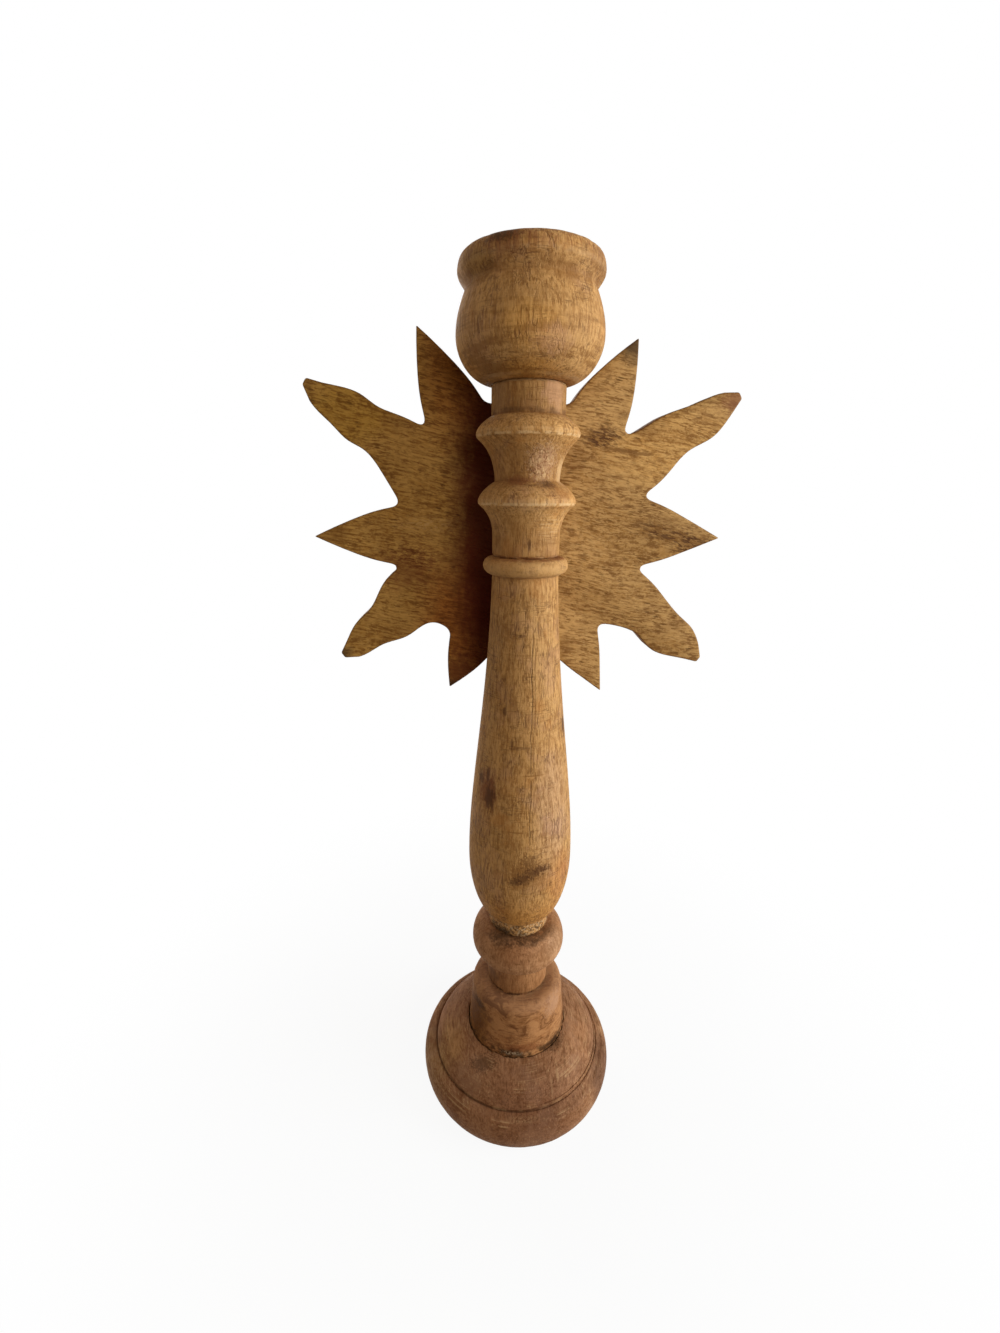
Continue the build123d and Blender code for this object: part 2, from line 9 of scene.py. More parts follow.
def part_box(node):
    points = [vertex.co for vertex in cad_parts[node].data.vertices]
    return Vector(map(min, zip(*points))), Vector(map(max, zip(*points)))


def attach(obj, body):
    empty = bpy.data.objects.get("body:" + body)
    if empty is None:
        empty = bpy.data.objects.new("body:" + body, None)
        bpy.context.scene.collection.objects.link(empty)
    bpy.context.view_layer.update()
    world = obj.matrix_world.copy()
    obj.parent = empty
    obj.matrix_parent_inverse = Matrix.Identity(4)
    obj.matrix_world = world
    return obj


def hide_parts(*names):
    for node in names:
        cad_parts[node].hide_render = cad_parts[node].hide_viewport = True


# A turned wooden candle stand with a sun-shaped plate behind its stem, in metres, with +Y to the back
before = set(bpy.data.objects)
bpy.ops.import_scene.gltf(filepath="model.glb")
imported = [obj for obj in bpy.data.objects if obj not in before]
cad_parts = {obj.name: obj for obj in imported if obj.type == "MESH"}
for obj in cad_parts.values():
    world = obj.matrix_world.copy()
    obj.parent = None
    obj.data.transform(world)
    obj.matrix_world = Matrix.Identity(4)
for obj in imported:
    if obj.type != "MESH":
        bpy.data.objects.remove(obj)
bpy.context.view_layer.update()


# Base
# A turned disc of reddish hardwood, with its grain lying flat and running from front to back. It has a
# round rim, a groove and a low dome with a socket for the collar. Its oil has worn off, and dirt has
# filled the groove, most of all on the right.
class Socket:
    """One output of a shader node. Python's operators on it add Math nodes."""

    def __init__(self, finish, output):
        self.finish = finish
        self.output = output

    def math(self, operation, first, second):
        return self.finish.node("ShaderNodeMath", {"operation": operation}, {0: first, 1: second})

    def __add__(self, other):
        return self.math("ADD", self, other)

    def __sub__(self, other):
        return self.math("SUBTRACT", self, other)

    def __rsub__(self, other):
        return self.math("SUBTRACT", other, self)

    def __mul__(self, other):
        return self.math("MULTIPLY", self, other)

    def __abs__(self):
        return self.math("ABSOLUTE", self, 0.0)

    __radd__ = __add__
    __rmul__ = __mul__


def opaque(colour):
    """A colour as a shader's socket takes it."""
    return colour if isinstance(colour, Socket) else (*colour, 1.0)


class Graph:
    """The shader nodes of a material or of the room."""

    def __init__(self, tree):
        self.tree = tree
        self.tree.nodes.clear()

    def node(self, kind, settings, sockets, result=0):
        """Any node: its type, its settings, which are set first, and the values or links of its sockets."""
        made = self.tree.nodes.new(kind)
        for name, value in settings.items():
            setattr(made, name, value)
        for name, value in sockets.items():
            if isinstance(value, Socket):
                self.tree.links.new(value.output, made.inputs[name])
            else:
                made.inputs[name].default_value = value
        return Socket(self, made.outputs[result]) if made.outputs else None

    def vector(self, operation, first, second):
        return self.node("ShaderNodeVectorMath", {"operation": operation}, {0: first, 1: second})

    def length(self, vector):
        return self.node("ShaderNodeVectorMath", {"operation": "LENGTH"}, {0: vector}, "Value")

    def mixed(self, first, second, share, blend="MIX"):
        """Colour between two colours."""
        sockets = {0: share, 6: opaque(first), 7: opaque(second)}
        return self.node("ShaderNodeMix", {"data_type": "RGBA", "blend_type": blend}, sockets, 2)

    def between(self, value, low, high):
        """Mask that rises smoothly from 0 at low to 1 at high, or falls where high is the lesser."""
        rising = high > low
        sockets = {
            "Value": value,
            "From Min": min(low, high),
            "From Max": max(low, high),
            "To Min": 0.0 if rising else 1.0,
            "To Max": 1.0 if rising else 0.0,
        }
        return self.node("ShaderNodeMapRange", {"interpolation_type": "SMOOTHSTEP"}, sockets)


SMUDGED = (420.0, 420.0, 260.0)


class Finish(Graph):
    """A procedural material, whose colour, height and roughness are built up from masks."""

    def __init__(self, name, colour, roughness):
        self.material = bpy.data.materials.new(name)
        self.material.use_nodes = True
        super().__init__(self.material.node_tree)
        self.place = self.node("ShaderNodeTexCoord", {}, {}, "Object")
        self.colour = colour
        self.roughness = roughness
        self.height = 0.0
        self.metal = 0.0

    def axis(self, name):
        """One coordinate of the place on the piece: X, Y or Z."""
        return self.node("ShaderNodeSeparateXYZ", {}, {0: self.place}, name)

    def facing(self, name):
        """One part of the direction in which the surface faces: X, Y or Z."""
        normal = self.node("ShaderNodeTexCoord", {}, {}, "Normal")
        return self.node("ShaderNodeSeparateXYZ", {}, {0: normal}, name)

    def tint(self, colour, mask):
        """Lay a colour over what is there, as far as the mask says."""
        self.colour = self.mixed(self.colour, colour, mask)

    def shade(self, colour, mask):
        """Multiply what is there by a colour, as far as the mask says, so that the grain still shows."""
        self.colour = self.mixed(self.colour, colour, mask, "MULTIPLY")

    def noise(self, per_metre, detail=2.0, rough=0.5, place=None, curl=0.0):
        """Cloudy value about 0.5, with so many clouds to a metre along X, Y and Z, curled by an amount."""
        spread = self.vector("MULTIPLY", place or self.place, per_metre)
        sockets = {"Vector": spread, "Scale": 1.0, "Detail": detail, "Roughness": rough, "Distortion": curl}
        return self.node("ShaderNodeTexNoise", {}, sockets)

    def clouds(self, per_metre, low, high, detail=4.0):
        """Mask of ragged patches, so many to a metre."""
        return self.between(self.noise((per_metre,) * 3, detail, 0.62), low, high)

    def warped(self, per_metre, reach, lean):
        """The place on the piece, leaned over about Y and shifted by a cloudy amount up to reach."""
        sockets = {"Vector": self.place, "Angle": lean}
        leaned = self.node("ShaderNodeVectorRotate", {"rotation_type": "Y_AXIS"}, sockets)
        spread = self.vector("MULTIPLY", leaned, per_metre)
        cloud = self.node("ShaderNodeTexNoise", {}, {"Vector": spread, "Scale": 1.0}, "Color")
        centred = self.vector("SUBTRACT", cloud, (0.5, 0.5, 0.5))
        return self.vector("ADD", leaned, self.vector("MULTIPLY", centred, (reach, reach, reach)))

    def dashes(self, per_metre, size, share, place=None):
        """Mask of short dashes, so many to a metre along X, Y and Z, in a share of the places for one."""
        spread = self.vector("MULTIPLY", place or self.place, per_metre)
        cells = {"Vector": spread, "Scale": 1.0}
        near = self.node("ShaderNodeTexVoronoi", {}, cells, "Distance")
        lot = self.node("ShaderNodeTexVoronoi", {}, cells, "Color")
        chance = self.node("ShaderNodeSeparateXYZ", {}, {0: lot}, "X")
        return self.between(near, size, size / 2) * self.between(chance, 1 - share, 1.2 - share)

    def hairlines(self, per_metre, width, place=None):
        """Mask of fine wandering lines, which run along the axis that has the fewest clouds to a metre."""
        return self.between(abs(self.noise(per_metre, 3.0, 0.6, place) - 0.5), width, width * 0.2)

    def spot(self, place, size, ragged, per_metre):
        """Mask that is 1 at a place and fades out, with a ragged edge, at its size along X, Y and Z."""
        away = self.vector("DIVIDE", self.vector("SUBTRACT", self.place, place), size)
        edge = (self.noise(per_metre, 4.0, 0.65) - 0.5) * (2 * ragged)
        return self.between(self.length(away) + edge, 1.0, 0.3)

    def area(self, colour, place, size):
        """Broad change of tone round a place, which fades out at its size along X, Y and Z."""
        self.shade(colour, self.spot(place, size, 0.4, (90.0, 90.0, 90.0)))

    def mark(self, colour, strength, place, size, ragged=0.6, per_metre=SMUDGED, broken=False):
        """Stain of a colour at a place, which fades out at its size along X, Y and Z, or is broken up."""
        mask = self.spot(place, size, ragged, per_metre) * strength
        if broken:
            mask = mask * self.between(self.noise(per_metre, 3.0, 0.6), 0.46, 0.60)
        self.tint(colour, mask)

    def radius(self):
        """Distance from the axis of the stem."""
        return self.length(self.vector("MULTIPLY", self.place, (1.0, 1.0, 0.0)))

    def lathe_lines(self, per_metre):
        """Cloudy value in rings round the axis, as the lathe leaves them on a face."""
        sockets = {"Vector": self.radius() * per_metre, "Scale": 1.0, "Detail": 2.0}
        return self.node("ShaderNodeTexNoise", {}, sockets)

    def level(self, height, half_width):
        """Mask of a level band round the piece."""
        return self.between(abs(self.axis("Z") - height), half_width, half_width * 0.3)

    def shape(self, name):
        """A value that the mesh carries at its corners, such as how worn an edge is."""
        return self.node("ShaderNodeAttribute", {"attribute_name": name}, {}, "Fac")

    def done(self, bump=0.5, depth=0.0004, specular=0.08):
        """Join colour, roughness and height to the shader, and give the material."""
        surface = {
            "Base Color": opaque(self.colour),
            "Roughness": self.roughness,
            "Metallic": self.metal,
            "Specular IOR Level": specular,
        }
        if isinstance(self.height, Socket):
            relief = {"Strength": bump, "Distance": depth, "Height": self.height}
            surface["Normal"] = self.node("ShaderNodeBump", {}, relief)
        shader = self.node("ShaderNodeBsdfPrincipled", {}, surface)
        self.node("ShaderNodeOutputMaterial", {}, {"Surface": shader})
        return self.material


def wood(name, pale, middle, dark, along, lean=0.0, swirl=0.005, curl=0.0, speckle=0.5, pores=0.3):
    """Old oiled hardwood with its grain along X, Y or Z: figure, streaks, fibres, specks and pores."""
    finish = Finish(name, middle, 0.6)
    pore_dark = tuple(0.4 * part for part in dark)

    def grain(across, lengthwise):
        return tuple(lengthwise if axis == along else across for axis in "XYZ")

    wavy = finish.warped(grain(40, 16), swirl, lean)
    figure = finish.noise(grain(90, 14), 4.0, 0.6, wavy, curl)
    streak = finish.noise(grain(420, 40), 3.0, 0.6, wavy, curl)
    fibre = finish.noise(grain(1000, 130), 2.0, 0.6, wavy)
    flecks = finish.between(finish.noise(grain(900, 190), 2.0, 0.6, wavy), 0.52, 0.61)
    specks = finish.between(finish.noise(grain(1250, 240), 2.0, 0.6, wavy, curl), 0.52, 0.61)
    crowded = 0.4 + finish.clouds(75, 0.42, 0.60) * 0.6
    long_pores = finish.dashes(grain(1000, 200), 0.40, 0.35, wavy)
    finish.tint(pale, finish.between(figure, 0.40, 0.64) * 0.8)
    finish.tint(dark, finish.between(streak, 0.46, 0.70) * 0.6)
    finish.tint(dark, finish.clouds(110, 0.46, 0.68) * 0.5)
    finish.tint(pale, finish.clouds(230, 0.48, 0.66) * 0.55)
    finish.tint(dark, finish.clouds(480, 0.50, 0.64) * speckle * 0.7)
    finish.tint(pale, finish.clouds(800, 0.50, 0.62) * speckle * 0.7)
    finish.tint(dark, finish.between(fibre, 0.48, 0.36) * speckle * 0.8)
    finish.tint(pale, finish.between(fibre, 0.52, 0.64) * speckle * 0.9)
    finish.tint(pale, flecks * speckle * 0.8)
    finish.tint(dark, specks * crowded * speckle)
    finish.tint(pore_dark, long_pores * crowded * pores)
    finish.height = fibre * 0.5 + streak * 0.4 + (1 - specks) * 0.3 + (1 - long_pores) * 0.4
    finish.roughness = 0.48 + streak * 0.24
    return finish


# Points closer than this are one point
WELD = 1e-6
# Bends above the first angle stay corners of an outline, and those above the second stay creases of a mesh
CORNER = radians(20)
CREASE = radians(42)
# The section is cut a little beside the seam of the CAD mesh, and then turned with so many corners round
SEAM_TURN = 0.0137
ROUND = 160
# An edge is worn round over this reach, by this share where it bends fully
EDGE_REACH = 0.0012
FULL_EDGE = radians(60)
EASE = 0.6
# Dirt fills a hollow whose sides are within this reach, by the first share all round, and by the second more
# on one side and less on the other
FILL_REACH = 0.0035
FILL_ROUND = 0.6
FILL_SWING = 0.4
# Large and small knocks to a metre of edge
KNOCKS = 260
SMALL_KNOCKS = 900


def wood_on_left(outline):
    """The outline in the order that has the wood on its left."""
    area = sum(a[0] * b[1] - b[0] * a[1] for a, b in zip(outline, outline[1:]))
    return outline if area > 0 else outline[::-1]


def half_section(node):
    """Outline of a turned CAD piece, cut down its middle: (radius, height) points, up its outside."""
    cut = bmesh.new()
    cut.from_mesh(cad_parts[node].data)
    bmesh.ops.remove_doubles(cut, verts=cut.verts, dist=WELD)
    bmesh.ops.rotate(cut, verts=cut.verts, matrix=Matrix.Rotation(SEAM_TURN, 3, "Z"))
    for across in ((1, 0, 0), (0, 1, 0)):
        everything = cut.verts[:] + cut.edges[:] + cut.faces[:]
        found = bmesh.ops.bisect_plane(cut, geom=everything, plane_no=across, clear_outer=True)
    beside = {}
    for edge in found["geom_cut"]:
        if isinstance(edge, bmesh.types.BMEdge):
            for vertex in edge.verts:
                beside.setdefault(vertex, []).append(edge.other_vert(vertex))
    ends = [vertex for vertex, others in beside.items() if len(others) == 1]
    path = [min(ends or beside, key=lambda vertex: vertex.co.z)]
    onward = beside[path[0]]
    while onward:
        path.append(onward[0])
        onward = [vertex for vertex in beside[path[-1]] if vertex not in path]
    outline = [(hypot(vertex.co.x, vertex.co.y), vertex.co.z) for vertex in path]
    cut.free()
    if not ends:
        outline.append(outline[0])
    return wood_on_left(outline)


def turn_at(before, here, after):
    """Angle by which an outline turns at a point: positive at an outer edge, negative in a hollow."""
    first = atan2(here[1] - before[1], here[0] - before[0])
    second = atan2(after[1] - here[1], after[0] - here[0])
    return (second - first + pi) % (2 * pi) - pi


def evenly(outline, step):
    """The outline with points about a step apart, with its corners kept."""
    kept = [outline[0]]
    for here, after in zip(outline[1:], outline[2:] + [None]):
        last = kept[-1]
        far = hypot(here[0] - last[0], here[1] - last[1])
        corner = after is None or abs(turn_at(last, here, after)) > CORNER
        if far < WELD or (far < step and not corner):
            continue
        pieces = ceil(far / step - 0.5) or 1
        for count in range(1, pieces + 1):
            share = count / pieces
            kept.append(tuple(a + (b - a) * share for a, b in zip(last, here)))
    return kept


def point_along(outline, index, reach):
    """Point of an outline a distance before (negative) or after one of its points."""
    step = 1 if reach > 0 else -1
    left = abs(reach)
    while 0 <= index + step < len(outline):
        here = outline[index]
        there = outline[index + step]
        far = hypot(there[0] - here[0], there[1] - here[1])
        if far >= left:
            share = left / far
            return tuple(a + (b - a) * share for a, b in zip(here, there))
        left -= far
        index += step
    return outline[index]


def bridged(outline):
    """Heights of an outline's points, with its upper side filled straight across any narrow hollow."""
    heights = [height for radius, height in outline]
    widest = outline.index(max(outline))
    highest = heights.index(max(heights))
    for index in range(widest, highest):
        radius, height = outline[index]
        near = [at for at in outline[widest:highest] if hypot(at[0] - radius, at[1] - height) < FILL_REACH]
        for inner in near:
            for outer in near:
                if inner[0] <= radius <= outer[0] and outer[0] - inner[0] > WELD:
                    share = (radius - inner[0]) / (outer[0] - inner[0])
                    heights[index] = max(heights[index], inner[1] + (outer[1] - inner[1]) * share)
    return heights


def turned(name, node, step, chip=0.0003, oval=0.003, planed_above=None, fill=0.0, fill_side=0.0):
    """A turned piece that stands for its CAD node: chipped at its edges, and dried a little oval.

    Above planed_above its back is flat against the plate. A share fill of its hollows is filled up on the
    side at the angle fill_side, and less towards the other side.
    """
    outline = evenly(half_section(node), step)
    full_heights = bridged(outline) if fill else [height for radius, height in outline]
    corners = []
    worn = []
    hollow = []
    rings = []
    for index, (radius, height) in enumerate(outline):
        before = point_along(outline, index, -EDGE_REACH)
        after = point_along(outline, index, EDGE_REACH)
        bend = turn_at(before, (radius, height), after) / FULL_EDGE
        edge = min(max(bend, 0.0), 1.0)
        dip = min(max(-bend, 0.0), 1.0)
        inner = 0 < index < len(outline) - 1
        ring = []
        for count in range(ROUND if radius > WELD else 1):
            angle = 2 * pi * count / ROUND
            filled = fill * (FILL_ROUND + FILL_SWING * cos(angle - fill_side))
            share = edge * EASE * (1 - filled) if inner else 0.0
            eased_radius = radius + ((before[0] + after[0]) / 2 - radius) * share
            eased_height = height + ((before[1] + after[1]) / 2 - height) * share
            eased_height += (full_heights[index] - height) * filled
            at = Vector((eased_radius * cos(angle), eased_radius * sin(angle), eased_height))
            knock = max(noise.noise(at * KNOCKS) + 0.25 * noise.noise(at * SMALL_KNOCKS) + 0.1, 0.0)
            shrink = 1 - oval * (0.5 + 0.5 * cos(2 * angle))
            new_radius = eased_radius * shrink - chip * edge * knock * 2
            x = new_radius * cos(angle)
            y = new_radius * sin(angle)
            if planed_above is not None and height > planed_above:
                y = min(y, plate_front)
            ring.append(len(corners))
            corners.append((x, y, eased_height))
            worn.append(edge * (1 - filled))
            hollow.append(dip)
        rings.append(ring)
    faces = []
    for lower, upper in zip(rings, rings[1:]):
        for count in range(ROUND):
            beside = (count + 1) % ROUND
            if len(lower) == 1:
                faces.append((lower[0], upper[beside], upper[count]))
            elif len(upper) == 1:
                faces.append((lower[count], lower[beside], upper[0]))
            else:
                faces.append((lower[count], lower[beside], upper[beside], upper[count]))
    mesh = bpy.data.meshes.new(name)
    mesh.from_pydata(corners, [], faces)
    for label, values in (("worn", worn), ("hollow", hollow)):
        mesh.attributes.new(label, "FLOAT", "POINT").data.foreach_set("value", values)
    return shown(name, mesh, node)


def shown(name, mesh, node):
    """Object for a mesh that stands for a CAD node of the stand, smooth but for its sharp edges."""
    tidy = bmesh.new()
    tidy.from_mesh(mesh)
    bmesh.ops.remove_doubles(tidy, verts=tidy.verts, dist=WELD)
    bmesh.ops.recalc_face_normals(tidy, faces=tidy.faces)
    tidy.to_mesh(mesh)
    tidy.free()
    mesh.shade_smooth()
    mesh.set_sharp_from_angle(angle=CREASE)
    piece = bpy.data.objects.new(name, mesh)
    bpy.context.scene.collection.objects.link(piece)
    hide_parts(node)
    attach(piece, "stand")
    return piece


plate_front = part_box("sun_plate")[0].y
base_pale = (0.39, 0.190, 0.092)
base_middle = (0.28, 0.122, 0.050)
base_dark = (0.15, 0.055, 0.019)
base_dust = (0.41, 0.220, 0.125)
# Dark of dirt, which also serves as painted shade by the groove of the base, on the bead and at the foot of
# the vase
dirt_and_shade = (0.03, 0.012, 0.004)
bare_wood = (0.55, 0.33, 0.16)
SPECKLED = (1100.0, 1100.0, 900.0)


def base_finish():
    finish = wood("base_wood", base_pale, base_middle, base_dark, "Y", speckle=0.6, pores=0.15)
    finish.tint(base_dark, finish.clouds(48, 0.50, 0.66) * 0.5)
    finish.tint(base_dust, finish.clouds(60, 0.50, 0.66) * 0.35)
    finish.tint(bare_wood, finish.shape("worn") * finish.clouds(300, 0.48, 0.62) * 0.4)
    scuffs = finish.between(finish.noise((1300, 70, 1300), 3.0, 0.6), 0.58, 0.70)
    finish.tint(bare_wood, scuffs * finish.clouds(35, 0.42, 0.56) * 0.6)
    # Scratches down the right of the dome, a knock at the groove and a pale line on the rim
    finish.mark(bare_wood, 0.45, (0.0185, -0.0330, 0.0270), (0.0010, 0.0070, 0.0050), 1.0)
    finish.mark(bare_wood, 0.40, (0.0150, -0.0380, 0.0245), (0.0009, 0.0080, 0.0050), 1.0)
    finish.mark(bare_wood, 0.75, (0.0036, -0.0440, 0.0210), (0.0045, 0.0025, 0.0016), 1.0, SPECKLED, True)
    finish.mark(bare_wood, 0.65, (-0.0010, -0.0482, 0.0177), (0.0140, 0.0040, 0.0014), 1.0, SPECKLED, True)
    # Dark streaks before the collar and broad tones round the base, among them painted shade at the front
    # and painted light on the left of the dome and rim
    finish.mark(dirt_and_shade, 0.55, (-0.0190, -0.0270, 0.0290), (0.0110, 0.0060, 0.0050), 1.2, SPECKLED)
    finish.mark(dirt_and_shade, 0.70, (0.0190, -0.0190, 0.0320), (0.0100, 0.0100, 0.0020), 0.8, SPECKLED)
    finish.area((0.66, 0.60, 0.58), (0.0040, -0.0440, 0.0180), (0.0360, 0.0280, 0.0220))
    finish.area((0.50, 0.47, 0.47), (0.0460, -0.0220, 0.0120), (0.0160, 0.0300, 0.0180))
    finish.area((1.22, 1.28, 1.05), (-0.0380, -0.0120, 0.0270), (0.0110, 0.0200, 0.0120))
    finish.area((1.16, 1.14, 1.08), (0.0330, -0.0160, 0.0280), (0.0110, 0.0200, 0.0100))
    finish.area((1.15, 1.30, 1.30), (-0.0460, -0.0150, 0.0120), (0.0160, 0.0300, 0.0160))
    # Painted shade in the left of the groove, away from the light
    left = finish.between(finish.axis("X"), 0.030, -0.010)
    finish.tint(dirt_and_shade, finish.shape("hollow") * left * 0.5)
    lines = finish.lathe_lines(900)
    finish.tint(bare_wood, finish.between(lines, 0.54, 0.64) * finish.clouds(90, 0.48, 0.62) * 0.45)
    finish.tint(base_dark, finish.between(lines, 0.46, 0.36) * finish.clouds(80, 0.46, 0.60) * 0.5)
    finish.tint(dirt_and_shade, finish.between(finish.axis("Z"), 0.008, 0.001) * finish.clouds(420, 0.48, 0.58) * 0.6)
    finish.height = finish.height + lines * 0.4
    return finish.done()


base = turned("turned_base", "base", 0.0005, chip=0.0005, fill=0.98, fill_side=radians(-30))
base.data.materials.append(base_finish())


# Collar
# A drum turned from the same reddish wood, set in the socket of the base. The joint round its foot has
# opened to a dark crack, and dirt and old glue lie above it.
collar_pale = (0.42, 0.195, 0.076)
collar_middle = (0.31, 0.128, 0.043)
collar_dark = (0.13, 0.045, 0.013)
collar_red = (0.20, 0.062, 0.020)
glue = (0.46, 0.33, 0.21)


def collar_finish():
    finish = wood("collar_wood", collar_pale, collar_middle, collar_dark, "X", swirl=0.016, pores=0.15)
    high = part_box("base_collar")[1].z
    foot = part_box("base")[1].z
    # Broad swirls of pale and dark
    swirls = finish.noise((70, 70, 210), 5.0, 0.62, finish.warped((60, 60, 60), 0.030, 0.0))
    finish.tint(collar_pale, finish.between(swirls, 0.52, 0.62) * 0.8)
    finish.tint(collar_dark, finish.between(swirls, 0.47, 0.37) * 0.85)
    # A dark whorl high on the left, above a side darkened with painted shade
    finish.mark(collar_dark, 0.75, (-0.0240, -0.0110, 0.0440), (0.0120, 0.0160, 0.0190))
    finish.mark(dirt_and_shade, 0.60, (-0.0215, -0.0130, 0.0540), (0.0080, 0.0070, 0.0035), 1.2, SPECKLED)
    finish.mark(collar_dark, 0.70, (-0.0165, -0.0190, 0.0500), (0.0050, 0.0045, 0.0030), 1.0)
    finish.area((0.68, 0.62, 0.34), (-0.0250, -0.0100, 0.0440), (0.0150, 0.0200, 0.0220))
    finish.mark(collar_red, 0.60, (0.0020, -0.0262, 0.0368), (0.0150, 0.0060, 0.0034), 1.0, SPECKLED)
    # Dirt and flakes of old glue at the foot, and a dusty top
    low = finish.between(finish.axis("Z"), foot + 0.009, foot)
    finish.tint(dirt_and_shade, low * finish.clouds(260, 0.42, 0.60) * 0.8)
    finish.mark(dirt_and_shade, 0.85, (0.0170, -0.0195, 0.0330), (0.0130, 0.0130, 0.0024), 0.8)
    finish.mark(dirt_and_shade, 0.80, (-0.0060, -0.0260, 0.0335), (0.0130, 0.0060, 0.0028), 1.0)
    finish.mark(glue, 0.80, (-0.0050, -0.0259, 0.0334), (0.0120, 0.0040, 0.0020), 1.0, SPECKLED, True)
    finish.mark(base_dust, 0.60, (0.0195, -0.0175, 0.0550), (0.0100, 0.0100, 0.0070), 1.0, SPECKLED)
    finish.tint(base_dust, finish.between(finish.axis("Z"), high - 0.006, high - 0.0005) * 0.25)
    finish.tint(dirt_and_shade, finish.shape("hollow") * 0.7)
    return finish.done()


collar = turned("turned_collar", "base_collar", 0.0007)
collar.data.materials.append(collar_finish())


# Lower bead
# A short neck and a round bead, turned from one greyish brown piece. A dowel joins it to the vase above,
# and a long screw through the base pulls it down on the collar.
bead_pale = (0.47, 0.235, 0.110)
bead_middle = (0.36, 0.165, 0.070)
bead_dark = (0.20, 0.083, 0.028)


def bead_finish():
    finish = wood("bead_wood", bead_pale, bead_middle, bead_dark, "Z", speckle=0.5, pores=0.15)
    low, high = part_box("lower_bead")
    finish.tint(bead_dark, finish.clouds(60, 0.50, 0.66) * 0.4)
    # A brown neck, dirty at its foot
    neck_high = low.z + 0.0165
    neck = finish.between(finish.axis("Z"), neck_high + 0.002, neck_high - 0.002)
    finish.shade((0.82, 0.76, 0.66), neck)
    finish.tint(dirt_and_shade, finish.level(low.z, 0.0030) * finish.clouds(300, 0.30, 0.52) * 0.9)
    finish.mark(dirt_and_shade, 0.45, (-0.0150, -0.0080, low.z + 0.007), (0.0080, 0.0080, 0.0090), 1.0)
    # Dirt and painted shade on the shoulder under the foot of the vase, at the front, a darker tone below
    # it at the front, and painted light on the right
    shoulder = high.z - 0.0008
    finish.mark(dirt_and_shade, 0.55, (-0.0070, -0.0155, shoulder), (0.0130, 0.0062, 0.0040), 1.0, SPECKLED)
    finish.mark(dirt_and_shade, 0.50, (0.0035, -0.0165, shoulder), (0.0095, 0.0050, 0.0032), 1.0, SPECKLED)
    front = finish.between(finish.axis("Y"), -0.004, -0.012)
    finish.tint(dirt_and_shade, finish.level(high.z, 0.0024) * front * finish.clouds(300, 0.40, 0.58) * 0.5)
    finish.area((0.86, 0.80, 0.76), (-0.0035, -0.0214, 0.0950), (0.0140, 0.0100, 0.0090))
    finish.area((1.10, 1.20, 1.34), (0.0170, -0.0150, 0.0920), (0.0080, 0.0120, 0.0100))
    # A fine ragged line left by the turner's tool, with a rubbed band below it
    line_height = 0.0906
    rubbed_height = 0.0878
    wobble = (finish.noise((240, 240, 1), 4.0, 0.7) - 0.5) * 0.0030
    tool_line = finish.between(abs(finish.axis("Z") + wobble - line_height), 0.0006, 0.0002)
    on_left = finish.between(finish.axis("X"), 0.014, 0.0)
    finish.tint(bead_dark, tool_line * finish.clouds(200, 0.42, 0.54) * on_left * 0.8)
    finish.tint(bead_pale, finish.level(rubbed_height, 0.0022) * finish.clouds(500, 0.44, 0.58) * 0.6)
    finish.tint(dirt_and_shade, finish.shape("hollow") * 0.6)
    return finish.done()


bead = turned("turned_bead", "lower_bead", 0.0006)
bead.data.materials.append(bead_finish())


# Vase
# The long tan belly of the stem and the ring at its top, turned from one length of hardwood with upright
# grain. It has two knots and a drying crack down its front, and its foot was left raw above the bead.
stem_pale = (0.57, 0.310, 0.114)
stem_middle = (0.46, 0.230, 0.074)
stem_dark = (0.25, 0.110, 0.030)
stem_pink = (0.46, 0.240, 0.122)
stem_orange = (0.50, 0.210, 0.055)
# Pale of rubbed edges, also used for a painted highlight on the cove of the column
rubbed_and_highlight_pale = (0.62, 0.39, 0.19)
knot_dark = (0.07, 0.025, 0.009)
knot_red = (0.20, 0.068, 0.024)


def stem_finish(name):
    finish = wood(name, stem_pale, stem_middle, stem_dark, "Z", speckle=0.7, pores=0.35)
    finish.tint(stem_pink, finish.clouds(70, 0.50, 0.66) * 0.35)
    finish.tint(stem_orange, finish.clouds(55, 0.54, 0.70) * 0.4)
    rings = finish.noise((25, 25, 1100), 2.0)
    finish.tint(stem_dark, finish.between(rings, 0.58, 0.75) * 0.3)
    # Hairline checks down the grain and level scratches from the lathe, in patches
    checks = finish.hairlines((300, 300, 30), 0.026) * finish.clouds(70, 0.42, 0.58)
    scratches = finish.hairlines((36, 36, 420), 0.020) * finish.clouds(85, 0.46, 0.60)
    finish.tint(knot_dark, checks * 0.5)
    finish.tint(knot_dark, scratches * 0.45)
    finish.height = finish.height + rings * 0.3 - checks * 0.6 - scratches * 0.6
    rubbed = finish.between(finish.shape("worn"), 0.15, 0.75) * finish.clouds(420, 0.40, 0.56)
    finish.tint(rubbed_and_highlight_pale, rubbed * 0.8)
    finish.tint(stem_dark, finish.shape("hollow") * 0.6)
    return finish


